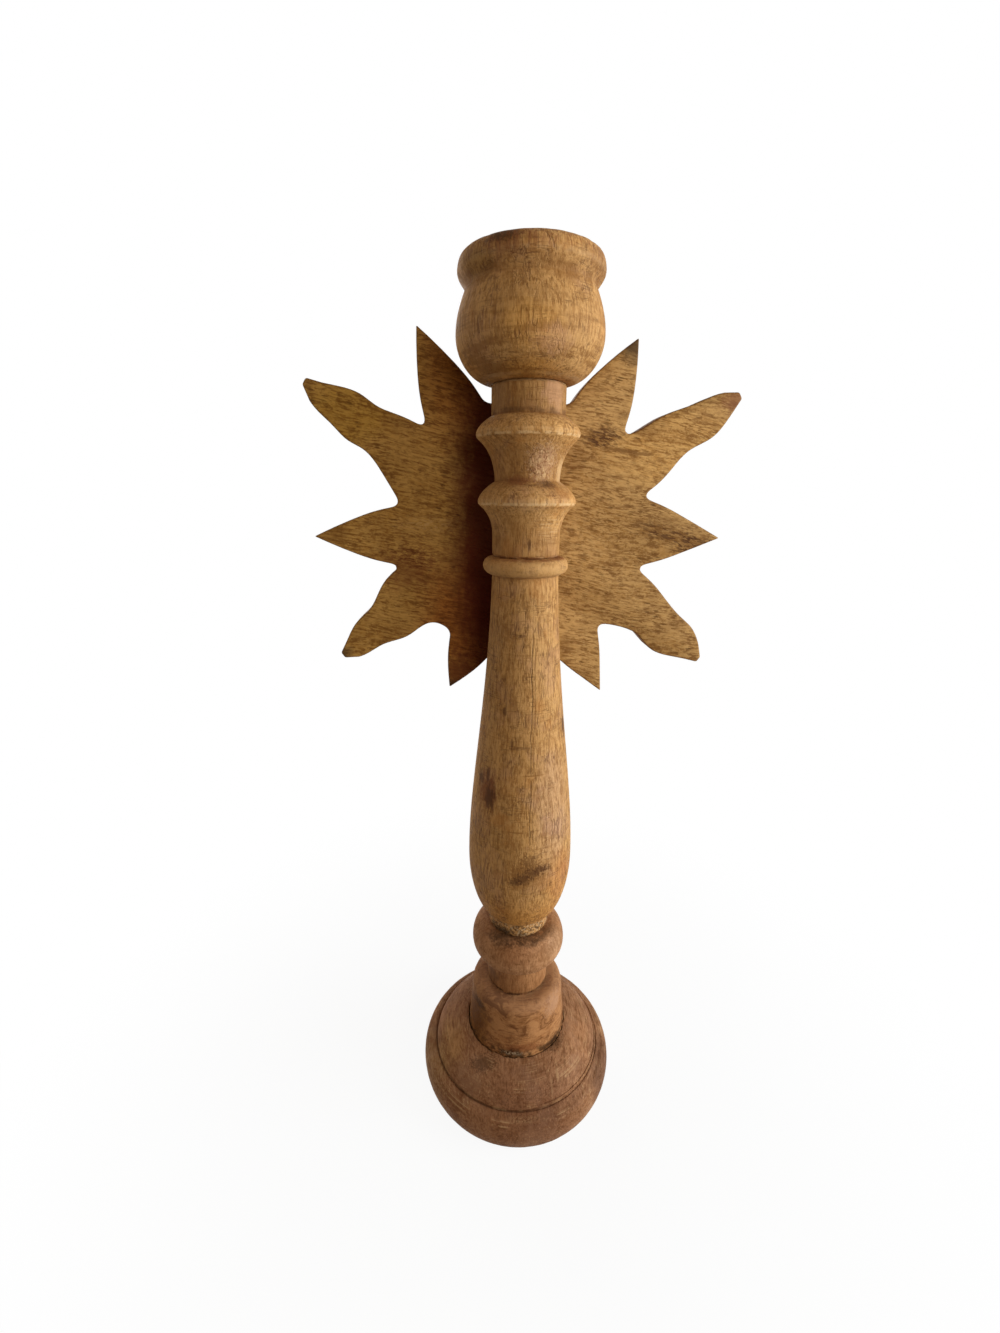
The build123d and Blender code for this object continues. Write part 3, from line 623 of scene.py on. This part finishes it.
def vase_finish():
    finish = stem_finish("vase_wood")
    bead_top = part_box("lower_bead")[1].z
    raw_height = 0.0077
    ring_middle = 0.2850
    raw_wood = (0.50, 0.28, 0.12)
    raw_fibres = (0.60, 0.43, 0.26)
    # The front is pinkish right of the crack, and browner left of it and low on the right
    finish.area((0.98, 1.02, 1.30), (0.0130, -0.0200, 0.1760), (0.0130, 0.0200, 0.0420))
    finish.area((0.92, 0.92, 0.90), (-0.0080, -0.0240, 0.1650), (0.0110, 0.0200, 0.0300))
    finish.area((0.95, 0.82, 0.72), (0.0190, -0.0180, 0.1370), (0.0110, 0.0140, 0.0200))
    # A red knot on the left, with a dark heart and two dark arms at its top
    finish.mark(knot_red, 0.80, (-0.0172, -0.0150, 0.1835), (0.0080, 0.0085, 0.0140), 0.9)
    finish.mark(knot_dark, 0.80, (-0.0160, -0.0165, 0.1805), (0.0040, 0.0040, 0.0105), 1.0, (700, 700, 300))
    finish.mark(knot_dark, 0.75, (-0.0200, -0.0105, 0.1885), (0.0030, 0.0030, 0.0045), 1.0, (700, 700, 400))
    finish.mark(knot_dark, 0.70, (-0.0166, -0.0141, 0.1915), (0.0016, 0.0016, 0.0055), 0.8, (700, 700, 400))
    # A slanting dark smear low on the front, in a brown cloud
    finish.mark(stem_dark, 0.75, (0.0020, -0.0255, 0.1445), (0.0140, 0.0100, 0.0125), 0.9, SPECKLED)
    for across, height, reach in (
        (-0.0048, 0.1405, 0.0042),
        (-0.0008, 0.1422, 0.0056),
        (0.0030, 0.1448, 0.0060),
        (0.0070, 0.1466, 0.0052),
        (0.0100, 0.1468, 0.0040),
    ):
        place = (across, -0.0252, height)
        finish.mark(knot_dark, 0.65, place, (reach, 0.0060, reach * 0.7), 1.1, SPECKLED)
    finish.mark(knot_dark, 0.40, (0.0022, -0.0256, 0.1515), (0.0060, 0.0060, 0.0060), 1.4, SPECKLED)
    # A fine drying crack that wanders down the front, with a fainter one beside it
    sway = (finish.noise((1, 1, 28), 4.0) - 0.5) * 0.0045
    across = finish.axis("X") - 0.0020 + sway
    crack = finish.between(abs(across), 0.00032, 0.00010) * 0.6
    strand = finish.between(abs(across - 0.0013), 0.00030, 0.00008) * 0.3
    up = finish.axis("Z")
    stretch = finish.between(up, 0.155, 0.165) * finish.between(up, 0.262, 0.250)
    front = finish.between(finish.axis("Y"), 0.0, -0.002)
    broken = finish.between(finish.noise((1, 1, 90), 2.0), 0.36, 0.5)
    cracks = (crack + strand) * stretch * front * broken
    finish.tint(dirt_and_shade, cracks)
    finish.height = finish.height - cracks * 1.5
    # Level scratches on the front, small dark marks, a dark knot on the right, and a browner end below
    finish.mark(stem_dark, 0.80, (0.0030, -0.0220, 0.1940), (0.0075, 0.0200, 0.0006), 0.5)
    finish.mark(stem_dark, 0.80, (-0.0048, -0.0240, 0.1665), (0.0060, 0.0200, 0.0006), 0.5)
    finish.mark(knot_dark, 0.70, (-0.0094, -0.0160, 0.2228), (0.0012, 0.0012, 0.0040), 0.9)
    finish.mark(knot_dark, 0.50, (-0.0064, -0.0191, 0.2083), (0.0010, 0.0010, 0.0030), 0.9)
    finish.mark(knot_dark, 0.85, (0.0180, -0.0072, 0.2130), (0.0026, 0.0030, 0.0070))
    finish.shade((0.98, 0.85, 0.62), finish.between(finish.axis("Z"), 0.136, 0.112))
    # The raw foot, with dirt and painted shade at the front on the left
    raw_top = bead_top + raw_height
    raw = finish.between(finish.axis("Z"), raw_top + 0.0006, raw_top - 0.0006)
    finish.tint(raw_wood, raw * 0.5)
    finish.tint(dirt_and_shade, raw * finish.clouds(600, 0.46, 0.56) * 0.75)
    finish.tint(raw_fibres, raw * finish.clouds(1000, 0.53, 0.60) * 0.6)
    finish.mark(dirt_and_shade, 0.80, (-0.0105, -0.0120, 0.0995), (0.0130, 0.0080, 0.0060), 0.9, SPECKLED)
    # The ring at the top is rubbed paler, with dirt in the joint above it
    ring_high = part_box("vase_stem")[1].z
    ring_rub = 0.25 + finish.clouds(300, 0.42, 0.58) * 0.5
    finish.tint(stem_pale, finish.level(ring_middle, 0.0048) * ring_rub)
    finish.tint(knot_red, finish.level(ring_high, 0.0012) * finish.clouds(160, 0.40, 0.56) * 0.7)
    return finish.done()


vase = turned("turned_vase", "vase_stem", 0.001, planed_above=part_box("sun_plate")[0].z - 0.001)
vase.data.materials.append(vase_finish())


# Column
# Two flared rings with a cove between them, and the neck under the cup, turned from one piece. A dowel
# joins it to the vase, and its edges have worn pale.
filler_pink = (0.47, 0.265, 0.140)


def column_finish(name):
    finish = stem_finish(name)
    shaft_middle = 0.3060
    flare_middle = 0.3370
    neck_low = 0.3452
    # Dirt and painted shade darken the coves and the neck, where the column is thin and the cup above shades
    # it, and the rest is paler
    thin = finish.between(finish.radius(), 0.0190, 0.0140)
    finish.tint(stem_dark, thin * (0.25 + finish.clouds(90, 0.42, 0.6) * 0.35))
    finish.shade((0.86, 0.86, 0.84), finish.between(finish.axis("Z"), 0.343, 0.347))
    finish.shade((1.22, 1.27, 1.32), finish.level(shaft_middle, 0.0110))
    finish.shade((1.12, 1.12, 1.10), finish.level(flare_middle, 0.0060))
    # Filler that was wiped over the stopped hole, with a dark spot under it and a brown one beside it
    finish.mark(filler_pink, 0.65, (0.0046, -0.0138, 0.3268), (0.0080, 0.0080, 0.0110), 1.0, SPECKLED)
    patch = finish.spot((0.0046, -0.0138, 0.3260), (0.0085, 0.0085, 0.0110), 0.8, SPECKLED)
    finish.tint(knot_red, finish.hairlines((330, 330, 260), 0.045) * patch * 0.6)
    finish.tint(rubbed_and_highlight_pale, finish.clouds(520, 0.52, 0.60) * patch * 0.6)
    finish.height = finish.height + finish.noise((330, 330, 260), 3.0) * patch * 2.0
    finish.mark(knot_dark, 0.70, (0.0069, -0.0140, 0.3182), (0.0052, 0.0050, 0.0028), 0.8, SPECKLED)
    finish.mark(knot_red, 0.70, (-0.0050, -0.0130, 0.3196), (0.0070, 0.0060, 0.0028), 0.9, SPECKLED)
    finish.mark(knot_red, 0.30, (0.0110, -0.0150, 0.3150), (0.0100, 0.0090, 0.0040), 0.9)
    # A painted highlight lies along the right edge of the cove, and the neck is paler on the right
    finish.mark(rubbed_and_highlight_pale, 0.60, (0.0128, -0.0060, 0.3230), (0.0030, 0.0060, 0.0080), 0.9, SPECKLED)
    finish.mark(stem_pink, 0.60, (0.0090, -0.0120, 0.3510), (0.0075, 0.0090, 0.0080), 0.8)
    # A dark ring at the foot of the neck, dirt over the joint with the vase, and a crack low on the front
    neck_foot = finish.level(neck_low, 0.0016) * finish.clouds(160, 0.36, 0.54)
    joint = finish.level(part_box("upper_column")[0].z, 0.0014) * finish.clouds(160, 0.36, 0.52)
    finish.tint(knot_dark, neck_foot * 0.55)
    finish.tint(knot_red, joint * 0.7)
    finish.mark(knot_dark, 0.70, (-0.0002, -0.0145, 0.2945), (0.0010, 0.0050, 0.0035), 0.9)
    # Level scratches on the right of the shaft
    scratched = finish.spot((0.0085, -0.0120, 0.3030), (0.0090, 0.0100, 0.0090), 0.4, SPECKLED)
    lines = finish.hairlines((30, 30, 900), 0.05) * scratched
    finish.tint(rubbed_and_highlight_pale, lines * finish.clouds(300, 0.42, 0.56) * 0.45)
    return finish.done()


column = turned("turned_column", "upper_column", 0.0005, planed_above=0.0)
column.data.materials.append(column_finish("column_wood"))


# Filler
# The screw that holds the plate was driven in through the cove. Its hole was stopped with filler, which was
# wiped over the wood round it and has taken the colour of the oil.
proud = 1.006


def stopped_hole():
    """The CAD plug, standing proud of the cove by a hair, as filler does."""
    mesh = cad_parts["screw_plug"].data.copy()
    for vertex in mesh.vertices:
        vertex.co.xy = vertex.co.xy * proud
    return shown("screw_filler", mesh, "screw_plug")


filler = stopped_hole()
filler.data.materials.clear()
filler.data.materials.append(column_finish("screw_filler"))


# Cup
# A bowl with a rolled lip, turned from its own piece of the same wood as the stem. A dowel holds it on the
# neck, and it is bored to take the pan.
def cup_finish():
    finish = stem_finish("cup_wood")
    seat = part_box("candle_cup")[0].z
    groove_height = 0.3880
    # Level bands of pale and dark in the lower half of the bowl, and a dark seat with a pale line
    bands = finish.noise((45, 45, 330), 5.0, 0.66)
    lower = 0.4 + finish.between(finish.axis("Z"), 0.380, 0.364) * 0.6
    finish.tint(stem_pale, finish.between(bands, 0.51, 0.62) * lower * 0.6)
    finish.tint(stem_dark, finish.between(bands, 0.49, 0.38) * lower * 0.65)
    finish.mark(stem_pink, 0.55, (0.0054, -0.0269, 0.3660), (0.0090, 0.0080, 0.0060), 0.9)
    finish.mark(stem_dark, 0.70, (-0.0154, -0.0157, 0.3585), (0.0120, 0.0100, 0.0030))
    finish.tint(bare_wood, finish.level(seat + 0.0009, 0.0006) * finish.clouds(120, 0.36, 0.56) * 0.6)
    # A brown stain on the lip at the left, dark patches round the groove below it, broad tones, and painted
    # shade low on the front of the bowl, where it faces down
    finish.mark(knot_red, 0.55, (-0.0124, -0.0250, 0.3955), (0.0120, 0.0090, 0.0060), 1.0)
    finish.mark(dirt_and_shade, 0.75, (-0.0130, -0.0247, 0.3970), (0.0090, 0.0080, 0.0030), 1.0, SPECKLED)
    rim_strokes = finish.hairlines((420, 420, 30), 0.05) * finish.between(finish.axis("Z"), 0.390, 0.397)
    finish.tint(knot_red, rim_strokes * 0.6)
    finish.tint(stem_dark, finish.level(groove_height, 0.0040) * finish.clouds(150, 0.44, 0.60) * 0.75)
    finish.area((0.80, 0.78, 0.80), (0.0230, -0.0150, 0.3930), (0.0120, 0.0200, 0.0090))
    finish.area((0.76, 0.75, 0.66), (-0.0215, -0.0170, 0.3920), (0.0100, 0.0120, 0.0080))
    finish.area((1.22, 1.20, 1.04), (-0.0030, -0.0286, 0.3700), (0.0150, 0.0120, 0.0110))
    finish.area((0.96, 0.86, 0.62), (-0.0020, -0.0210, 0.3570), (0.0180, 0.0140, 0.0060))
    return finish.done()


cup = turned("turned_cup", "candle_cup", 0.0006)
cup.data.materials.append(cup_finish())


# Sun plate
# A board sawn to a sun, with its grain lying nearly level. A screw and two dowels hold it on the back of
# the stem. Its edges are rounded over, and its valleys are as wide and round as the saw's turn left them.
edge_round = 0.0008
saw_step = 0.0008
# A valley is cut wide by the first size, less and less out to the second, and is round over the third
valley_wide = 0.0014
valley_reach = 0.016
valley_round = 0.0030
# Up to this far from a tip the outline has no other point, so that the rounded edges meet there
tip_clear = 0.006
SHARP = radians(35)


def sawn_outline(outline):
    """The outline of the sun as the saw left it: round in its valleys, which it cut a little wide."""
    outline = wood_on_left(outline)
    top = max(range(len(outline)), key=lambda index: outline[index][1])
    line = evenly(outline[top:] + outline[:top + 1], saw_step)
    lengths = (hypot(b[0] - a[0], b[1] - a[1]) for a, b in zip(line, line[1:]))
    along = list(accumulate(lengths, initial=0.0))
    turns = [pi] + [turn_at(*line[index - 1:index + 2]) for index in range(1, len(line) - 1)] + [pi]
    valleys = [place for place, turn in zip(along, turns) if turn < -SHARP]
    tips = [place for place, turn in zip(along, turns) if turn > SHARP]
    near = [max(1 - min(abs(place - valley) for valley in valleys) / valley_reach, 0.0) for place in along]
    widened = []
    for index, (x, z) in enumerate(line):
        before = point_along(line, index, -valley_round)
        after = point_along(line, index, valley_round)
        way = Vector((after[0] - before[0], after[1] - before[1])).normalized()
        cut = valley_wide * near[index] ** 2
        widened.append((x - way.y * cut, z + way.x * cut))
    sawn = []
    for index, place in enumerate(along[:-1]):
        from_tip = min(abs(place - tip) for tip in tips)
        if near[index]:
            beside = [point_along(widened, index, valley_round * share / 3) for share in range(-3, 4)]
            sawn.append(tuple(sum(part) / len(beside) for part in zip(*beside)))
        elif from_tip < WELD or from_tip > tip_clear:
            sawn.append(line[index])
    return sawn


def sawn_plate():
    """The sun, cut from its board along the outline of the CAD plate, with its edges rounded over."""
    sun = bmesh.new()
    sun.from_mesh(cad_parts["sun_plate"].data)
    bmesh.ops.remove_doubles(sun, verts=sun.verts, dist=WELD)
    low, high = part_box("sun_plate")
    # Only the back face is kept, and its border is the outline
    spare = [face for face in sun.faces if face.normal.y < 0.9]
    bmesh.ops.delete(sun, geom=spare, context="FACES")
    bmesh.ops.dissolve_faces(sun, faces=sun.faces[:])
    back = next(iter(sun.faces))
    outline = sawn_outline([(vertex.co.x, vertex.co.z) for vertex in back.verts])
    sun.clear()
    front = [sun.verts.new((x, low.y, z)) for x, z in outline]
    sun.faces.new(front)
    outer = bmesh.ops.extrude_face_region(sun, geom=sun.faces[:])
    moved = [item for item in outer["geom"] if isinstance(item, bmesh.types.BMVert)]
    bmesh.ops.translate(sun, verts=moved, vec=(0, high.y - low.y, 0))
    bmesh.ops.recalc_face_normals(sun, faces=sun.faces)
    rims = [edge for edge in sun.edges if edge.calc_face_angle(0.0) > SHARP]
    bmesh.ops.bevel(sun, geom=rims, offset=edge_round, segments=3, profile=0.5, affect="EDGES")
    mesh = bpy.data.meshes.new("sawn_sun")
    sun.to_mesh(mesh)
    sun.free()
    return shown("sawn_sun", mesh, "sun_plate")


plate_pale = (0.52, 0.295, 0.105)
plate_middle = (0.40, 0.205, 0.060)
plate_dark = (0.17, 0.070, 0.016)
plate_red = (0.17, 0.050, 0.013)
# Dark red of flecks, and of the painted shadow that the stem casts on the plate
plate_fleck_and_shadow = (0.085, 0.009, 0.002)
plate_grime = (0.050, 0.028, 0.013)
grain_lean = radians(-11)
ray_lean = radians(-19)
mark_depth = 0.0100
DASHED = (520.0, 520.0, 1500.0)


def plate_finish():
    figure = {"lean": grain_lean, "swirl": 0.010, "curl": 0.4, "speckle": 0.75, "pores": 0.6}
    finish = wood("plate_wood", plate_pale, plate_middle, plate_dark, "X", **figure)
    along_ray = finish.warped((60, 60, 60), 0.003, ray_lean)
    flecks = finish.noise((190, 400, 820), 3.0, 0.62, along_ray, 0.6)

    def tone(colour, across, height, wide, high):
        """Broad change of tone on the front, which doesn't reach the back."""
        finish.area(colour, (across, plate_front, height), (wide, mark_depth, high))

    def stain(colour, strength, across, height, wide, high, ragged=0.6, per_metre=SMUDGED, broken=False):
        """Mark on the front, which doesn't reach the back."""
        size = (wide, mark_depth, high)
        finish.mark(colour, strength, (across, plate_front, height), size, ragged, per_metre, broken)

    def flecked(colour, strength, across, height, wide, high):
        """Crisp dark flecks on the front, along the ray."""
        size = (wide, mark_depth, high)
        patch = finish.spot((across, plate_front, height), size, 0.7, DASHED)
        finish.tint(colour, finish.between(flecks, 0.47, 0.55) * patch * strength)

    finish.tint(plate_dark, finish.clouds(45, 0.50, 0.70) * 0.4)
    # Painted shade: the left half, in the shadow of the stem, is warmer and less blue
    finish.shade((0.98, 0.93, 0.70), finish.between(finish.axis("X"), 0.01, -0.03))
    tone((1.24, 1.23, 1.16), 0.0680, 0.3350, 0.0400, 0.0260)
    # Painted shadow of the cup on the upper left ray, darker and redder
    tone((0.85, 0.68, 0.55), -0.0270, 0.3650, 0.0240, 0.0400)
    # Painted shadow of the stem, wider low on its left
    tone((0.75, 0.52, 0.40), -0.0240, 0.2580, 0.0300, 0.0420)
    # Painted shade on the far left ray, less blue
    tone((0.95, 0.94, 0.70), -0.0740, 0.3480, 0.0260, 0.0200)
    # Dark flecks on the right: down the right ray, and in a cluster above it with a thin line beside it
    for across, height, strength in ((0.0600, 0.2995, 0.5), (0.0700, 0.2962, 0.7), (0.0800, 0.2925, 0.9)):
        stain(plate_dark, strength * 0.55, across, height, 0.0110, 0.0050, 0.9, DASHED)
        flecked(knot_dark, strength, across, height, 0.0130, 0.0062)
    stain(plate_dark, 0.45, 0.0325, 0.3385, 0.0085, 0.0065, 0.9, DASHED)
    flecked(knot_dark, 0.85, 0.0350, 0.3383, 0.0125, 0.0068)
    for across, height in ((0.0400, 0.3337), (0.0460, 0.3329), (0.0520, 0.3319)):
        stain(plate_dark, 0.75, across, height, 0.0080, 0.0012, 0.7, DASHED)
    # Grime and red heartwood at some tips and low on the left
    stain(plate_grime, 0.85, 0.0465, 0.3775, 0.0105, 0.0140, 0.3)
    stain(knot_red, 0.70, 0.0925, 0.3545, 0.0080, 0.0080, 0.8)
    stain(plate_red, 0.75, -0.0300, 0.2290, 0.0110, 0.0160, 0.8)
    stain(plate_grime, 0.75, -0.0340, 0.2230, 0.0080, 0.0065, 0.4)
    stain(plate_grime, 0.70, -0.0865, 0.2400, 0.0085, 0.0075, 0.5)
    stain(plate_red, 0.50, -0.0560, 0.2800, 0.0240, 0.0110, 0.9)
    stain(plate_fleck_and_shadow, 0.60, -0.0500, 0.2870, 0.0260, 0.0120, 0.8, DASHED, True)
    stain(plate_pale, 0.70, -0.0420, 0.3010, 0.0260, 0.0060, 1.0, DASHED, True)
    # A painted shadow of the stem, dark red, along its left side
    stain(plate_fleck_and_shadow, 0.93, -0.0150, 0.3000, 0.0230, 0.1300, 0.3)
    # Saw-cut edges, darker
    side = finish.between(abs(finish.facing("Y")), 0.96, 0.6)
    finish.tint(plate_dark, side * 0.75)
    return finish.done()


plate = sawn_plate()
plate.data.materials.append(plate_finish())


# Dowels and plug
# Plain pale dowels hold the turned pieces in line, and a wooden plug closes the screw hole under the base.
dowel_pale = (0.66, 0.47, 0.27)
dowel_middle = (0.58, 0.39, 0.21)
dowel_dark = (0.42, 0.26, 0.13)


def dowel_finish():
    return wood("dowel_wood", dowel_pale, dowel_middle, dowel_dark, "Z", speckle=0.3, pores=0.2).done()


def dress(nodes, material):
    """Give CAD pieces a material. Their shape is right as it is."""
    for name in nodes:
        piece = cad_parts[name]
        piece.data.materials.clear()
        piece.data.materials.append(material)


dress(("vase_dowel", "column_dowel", "cup_dowel", "sun_dowels", "base_plug"), dowel_finish())


# Screws, washers and nut
# Zinc-plated steel, dulled by age and rusty in places. A long screw holds the base, a short one the plate,
# and the nut and its washer the spike.
zinc = (0.55, 0.55, 0.53)
dull_zinc = (0.32, 0.31, 0.28)
rust = (0.20, 0.10, 0.05)


def zinc_finish():
    finish = Finish("zinc_plate", zinc, 0.4)
    finish.metal = 1.0
    finish.tint(dull_zinc, finish.clouds(500, 0.45, 0.68) * 0.8)
    finish.tint(rust, finish.clouds(260, 0.58, 0.74) * 0.6)
    finish.roughness = 0.3 + finish.noise((700, 700, 700), 3.0) * 0.35
    finish.height = finish.noise((2400, 2400, 500), 2.0)
    return finish.done(bump=0.2, depth=0.0001, specular=0.5)


dress(("base_screw", "base_washer", "sun_screw", "spike_washer", "spike_nut"), zinc_finish())


# Pan and spike
# A pressed iron pan lies loose in the cup, and a washer and a nut hold a turned spike in it. Both are
# blackened, and rubbed bare along the edge of the pan and at the point.
iron_black = (0.045, 0.040, 0.036)
iron_brown = (0.10, 0.055, 0.03)
iron_grey = (0.09, 0.085, 0.08)
iron_bare = (0.34, 0.32, 0.29)


def iron_finish():
    finish = Finish("black_iron", iron_black, 0.55)
    finish.metal = 0.85
    finish.tint(iron_brown, finish.clouds(380, 0.5, 0.72) * 0.7)
    finish.tint(iron_grey, finish.clouds(900, 0.48, 0.7) * 0.6)
    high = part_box("pricket_pan")[1].z
    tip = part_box("pricket_spike")[1].z
    finish.tint(iron_bare, finish.level(high, 0.0008) * finish.clouds(300, 0.35, 0.6) * 0.8)
    finish.tint(iron_bare, finish.between(finish.axis("Z"), tip - 0.007, tip) * 0.7)
    finish.roughness = 0.42 + finish.noise((600, 600, 600), 4.0, 0.7) * 0.35
    finish.height = finish.noise((1200, 1200, 1200), 4.0, 0.7)
    return finish.done(bump=0.35, depth=0.0002, specular=0.5)


dress(("pricket_pan", "pricket_spike"), iron_finish())


# Stage
# A pale floor in a pale room, with a large soft lamp to the right, and weaker ones in front, on the left
# and behind.
def seen_by(graph):
    """1 for what the camera sees, directly or in metal or glass, and 0 for light that falls on things."""
    rays = [graph.node("ShaderNodeLightPath", {}, {}, f"Is {kind} Ray") for kind in ("Camera", "Glossy")]
    through = graph.node("ShaderNodeLightPath", {}, {}, "Is Transmission Ray")
    return through.math("MAXIMUM", through, rays[0].math("MAXIMUM", rays[0], rays[1]))


paper_white = (0.90, 0.90, 0.90)
paper_shade = (0.30, 0.28, 0.26)


def paper_finish():
    """Pale paper that glows white to the camera, but for the shadow close to the stand."""
    finish = Finish("floor_paper", paper_white, 0.9)
    seen = seen_by(finish)
    grain = finish.noise((40, 40, 40), 3.0) * 0.06
    tone = finish.mixed(paper_shade, finish.colour, seen)
    surface = {"Base Color": tone, "Roughness": finish.roughness + grain}
    lit = finish.node("ShaderNodeBsdfPrincipled", {}, surface)
    glow = finish.node("ShaderNodeEmission", {}, {"Color": (1.0, 1.0, 1.0, 1.0), "Strength": 1.0})
    far = finish.between(finish.length(finish.place), 0.06, 0.30)
    share = seen * (0.92 + far * 0.08)
    paper = finish.node("ShaderNodeMixShader", {}, {0: share, 1: lit, 2: glow})
    finish.node("ShaderNodeOutputMaterial", {}, {"Surface": paper})
    return finish.material


floor_half = 6.0
floor_mesh = bpy.data.meshes.new("floor")
floor_corners = [(x * floor_half, y * floor_half, 0.0) for x, y in ((-1, -1), (1, -1), (1, 1), (-1, 1))]
floor_mesh.from_pydata(floor_corners, [], [(0, 1, 2, 3)])
floor = bpy.data.objects.new("floor", floor_mesh)
floor_mesh.materials.append(paper_finish())
bpy.context.scene.collection.objects.link(floor)

world = bpy.data.worlds.new("room")
world.use_nodes = True
room = Graph(world.node_tree)
dim_room = room.node("ShaderNodeBackground", {}, {"Color": (1.0, 0.75, 0.50, 1.0), "Strength": 0.08})
white_room = room.node("ShaderNodeBackground", {}, {"Color": (1.0, 1.0, 1.0, 1.0), "Strength": 1.0})
room_light = room.node("ShaderNodeMixShader", {}, {0: seen_by(room), 1: dim_room, 2: white_room})
room.node("ShaderNodeOutputWorld", {}, {"Surface": room_light})
bpy.context.scene.world = world


lamp_aim = 0.25
lamp_distance = 1.4
daylight = (0.85, 0.94, 1.0)
cream = (1.0, 0.93, 0.80)
warm_white = (1.0, 0.95, 0.88)


def area_lamp(name, azimuth, elevation, size, power, colour):
    """Soft square lamp that points at the stand. Azimuth 0 is in front, and 90 on the right."""
    lamp = bpy.data.lights.new(name, "AREA")
    lamp.shape = "SQUARE"
    lamp.size = size
    lamp.energy = power
    lamp.color = colour
    piece = bpy.data.objects.new(name, lamp)
    bpy.context.scene.collection.objects.link(piece)
    level = lamp_distance * cos(elevation)
    away = Vector((level * sin(azimuth), -level * cos(azimuth), lamp_distance * sin(elevation)))
    piece.location = away + Vector((0, 0, lamp_aim))
    piece.rotation_euler = away.to_track_quat("Z", "Y").to_euler()


area_lamp("window", radians(75), radians(10), 0.9, 26.5, daylight)
area_lamp("front_wall", radians(28), radians(15), 0.8, 7.5, cream)
area_lamp("far_wall", radians(-105), radians(15), 1.0, 4.8, warm_white)
area_lamp("back_wall", radians(195), radians(12), 1.0, 7.0, warm_white)


# Camera
# A wide lens close to the stand, a little below its cup and looking down. It was fitted to the outline of
# the stand in the photograph, whose longer side counts photo_height pixels.
photo_height = 1333
focal_pixels = 552.3
sensor = 36.0
camera_reach = 0.2432
camera_height = 0.3147
camera_azimuth = radians(-6.11)
camera_pitch = radians(17.38)
camera_yaw = radians(-2.53)
camera_roll = radians(0.42)
lens = bpy.data.cameras.new("photo_camera")
lens.sensor_width = sensor
lens.lens = focal_pixels * sensor / photo_height
lens.clip_start = 0.01
camera = bpy.data.objects.new("photo_camera", lens)
bpy.context.scene.collection.objects.link(camera)
around = Matrix.Rotation(camera_azimuth, 4, "Z")
step_back = Matrix.Translation((0, -camera_reach, camera_height))
aim = Matrix.Rotation(-camera_yaw, 4, "Z") @ Matrix.Rotation(pi / 2 - camera_pitch, 4, "X")
camera.matrix_world = around @ step_back @ aim @ Matrix.Rotation(camera_roll, 4, "Z")
bpy.context.scene.camera = camera
bpy.context.scene.view_settings.view_transform = "Standard"
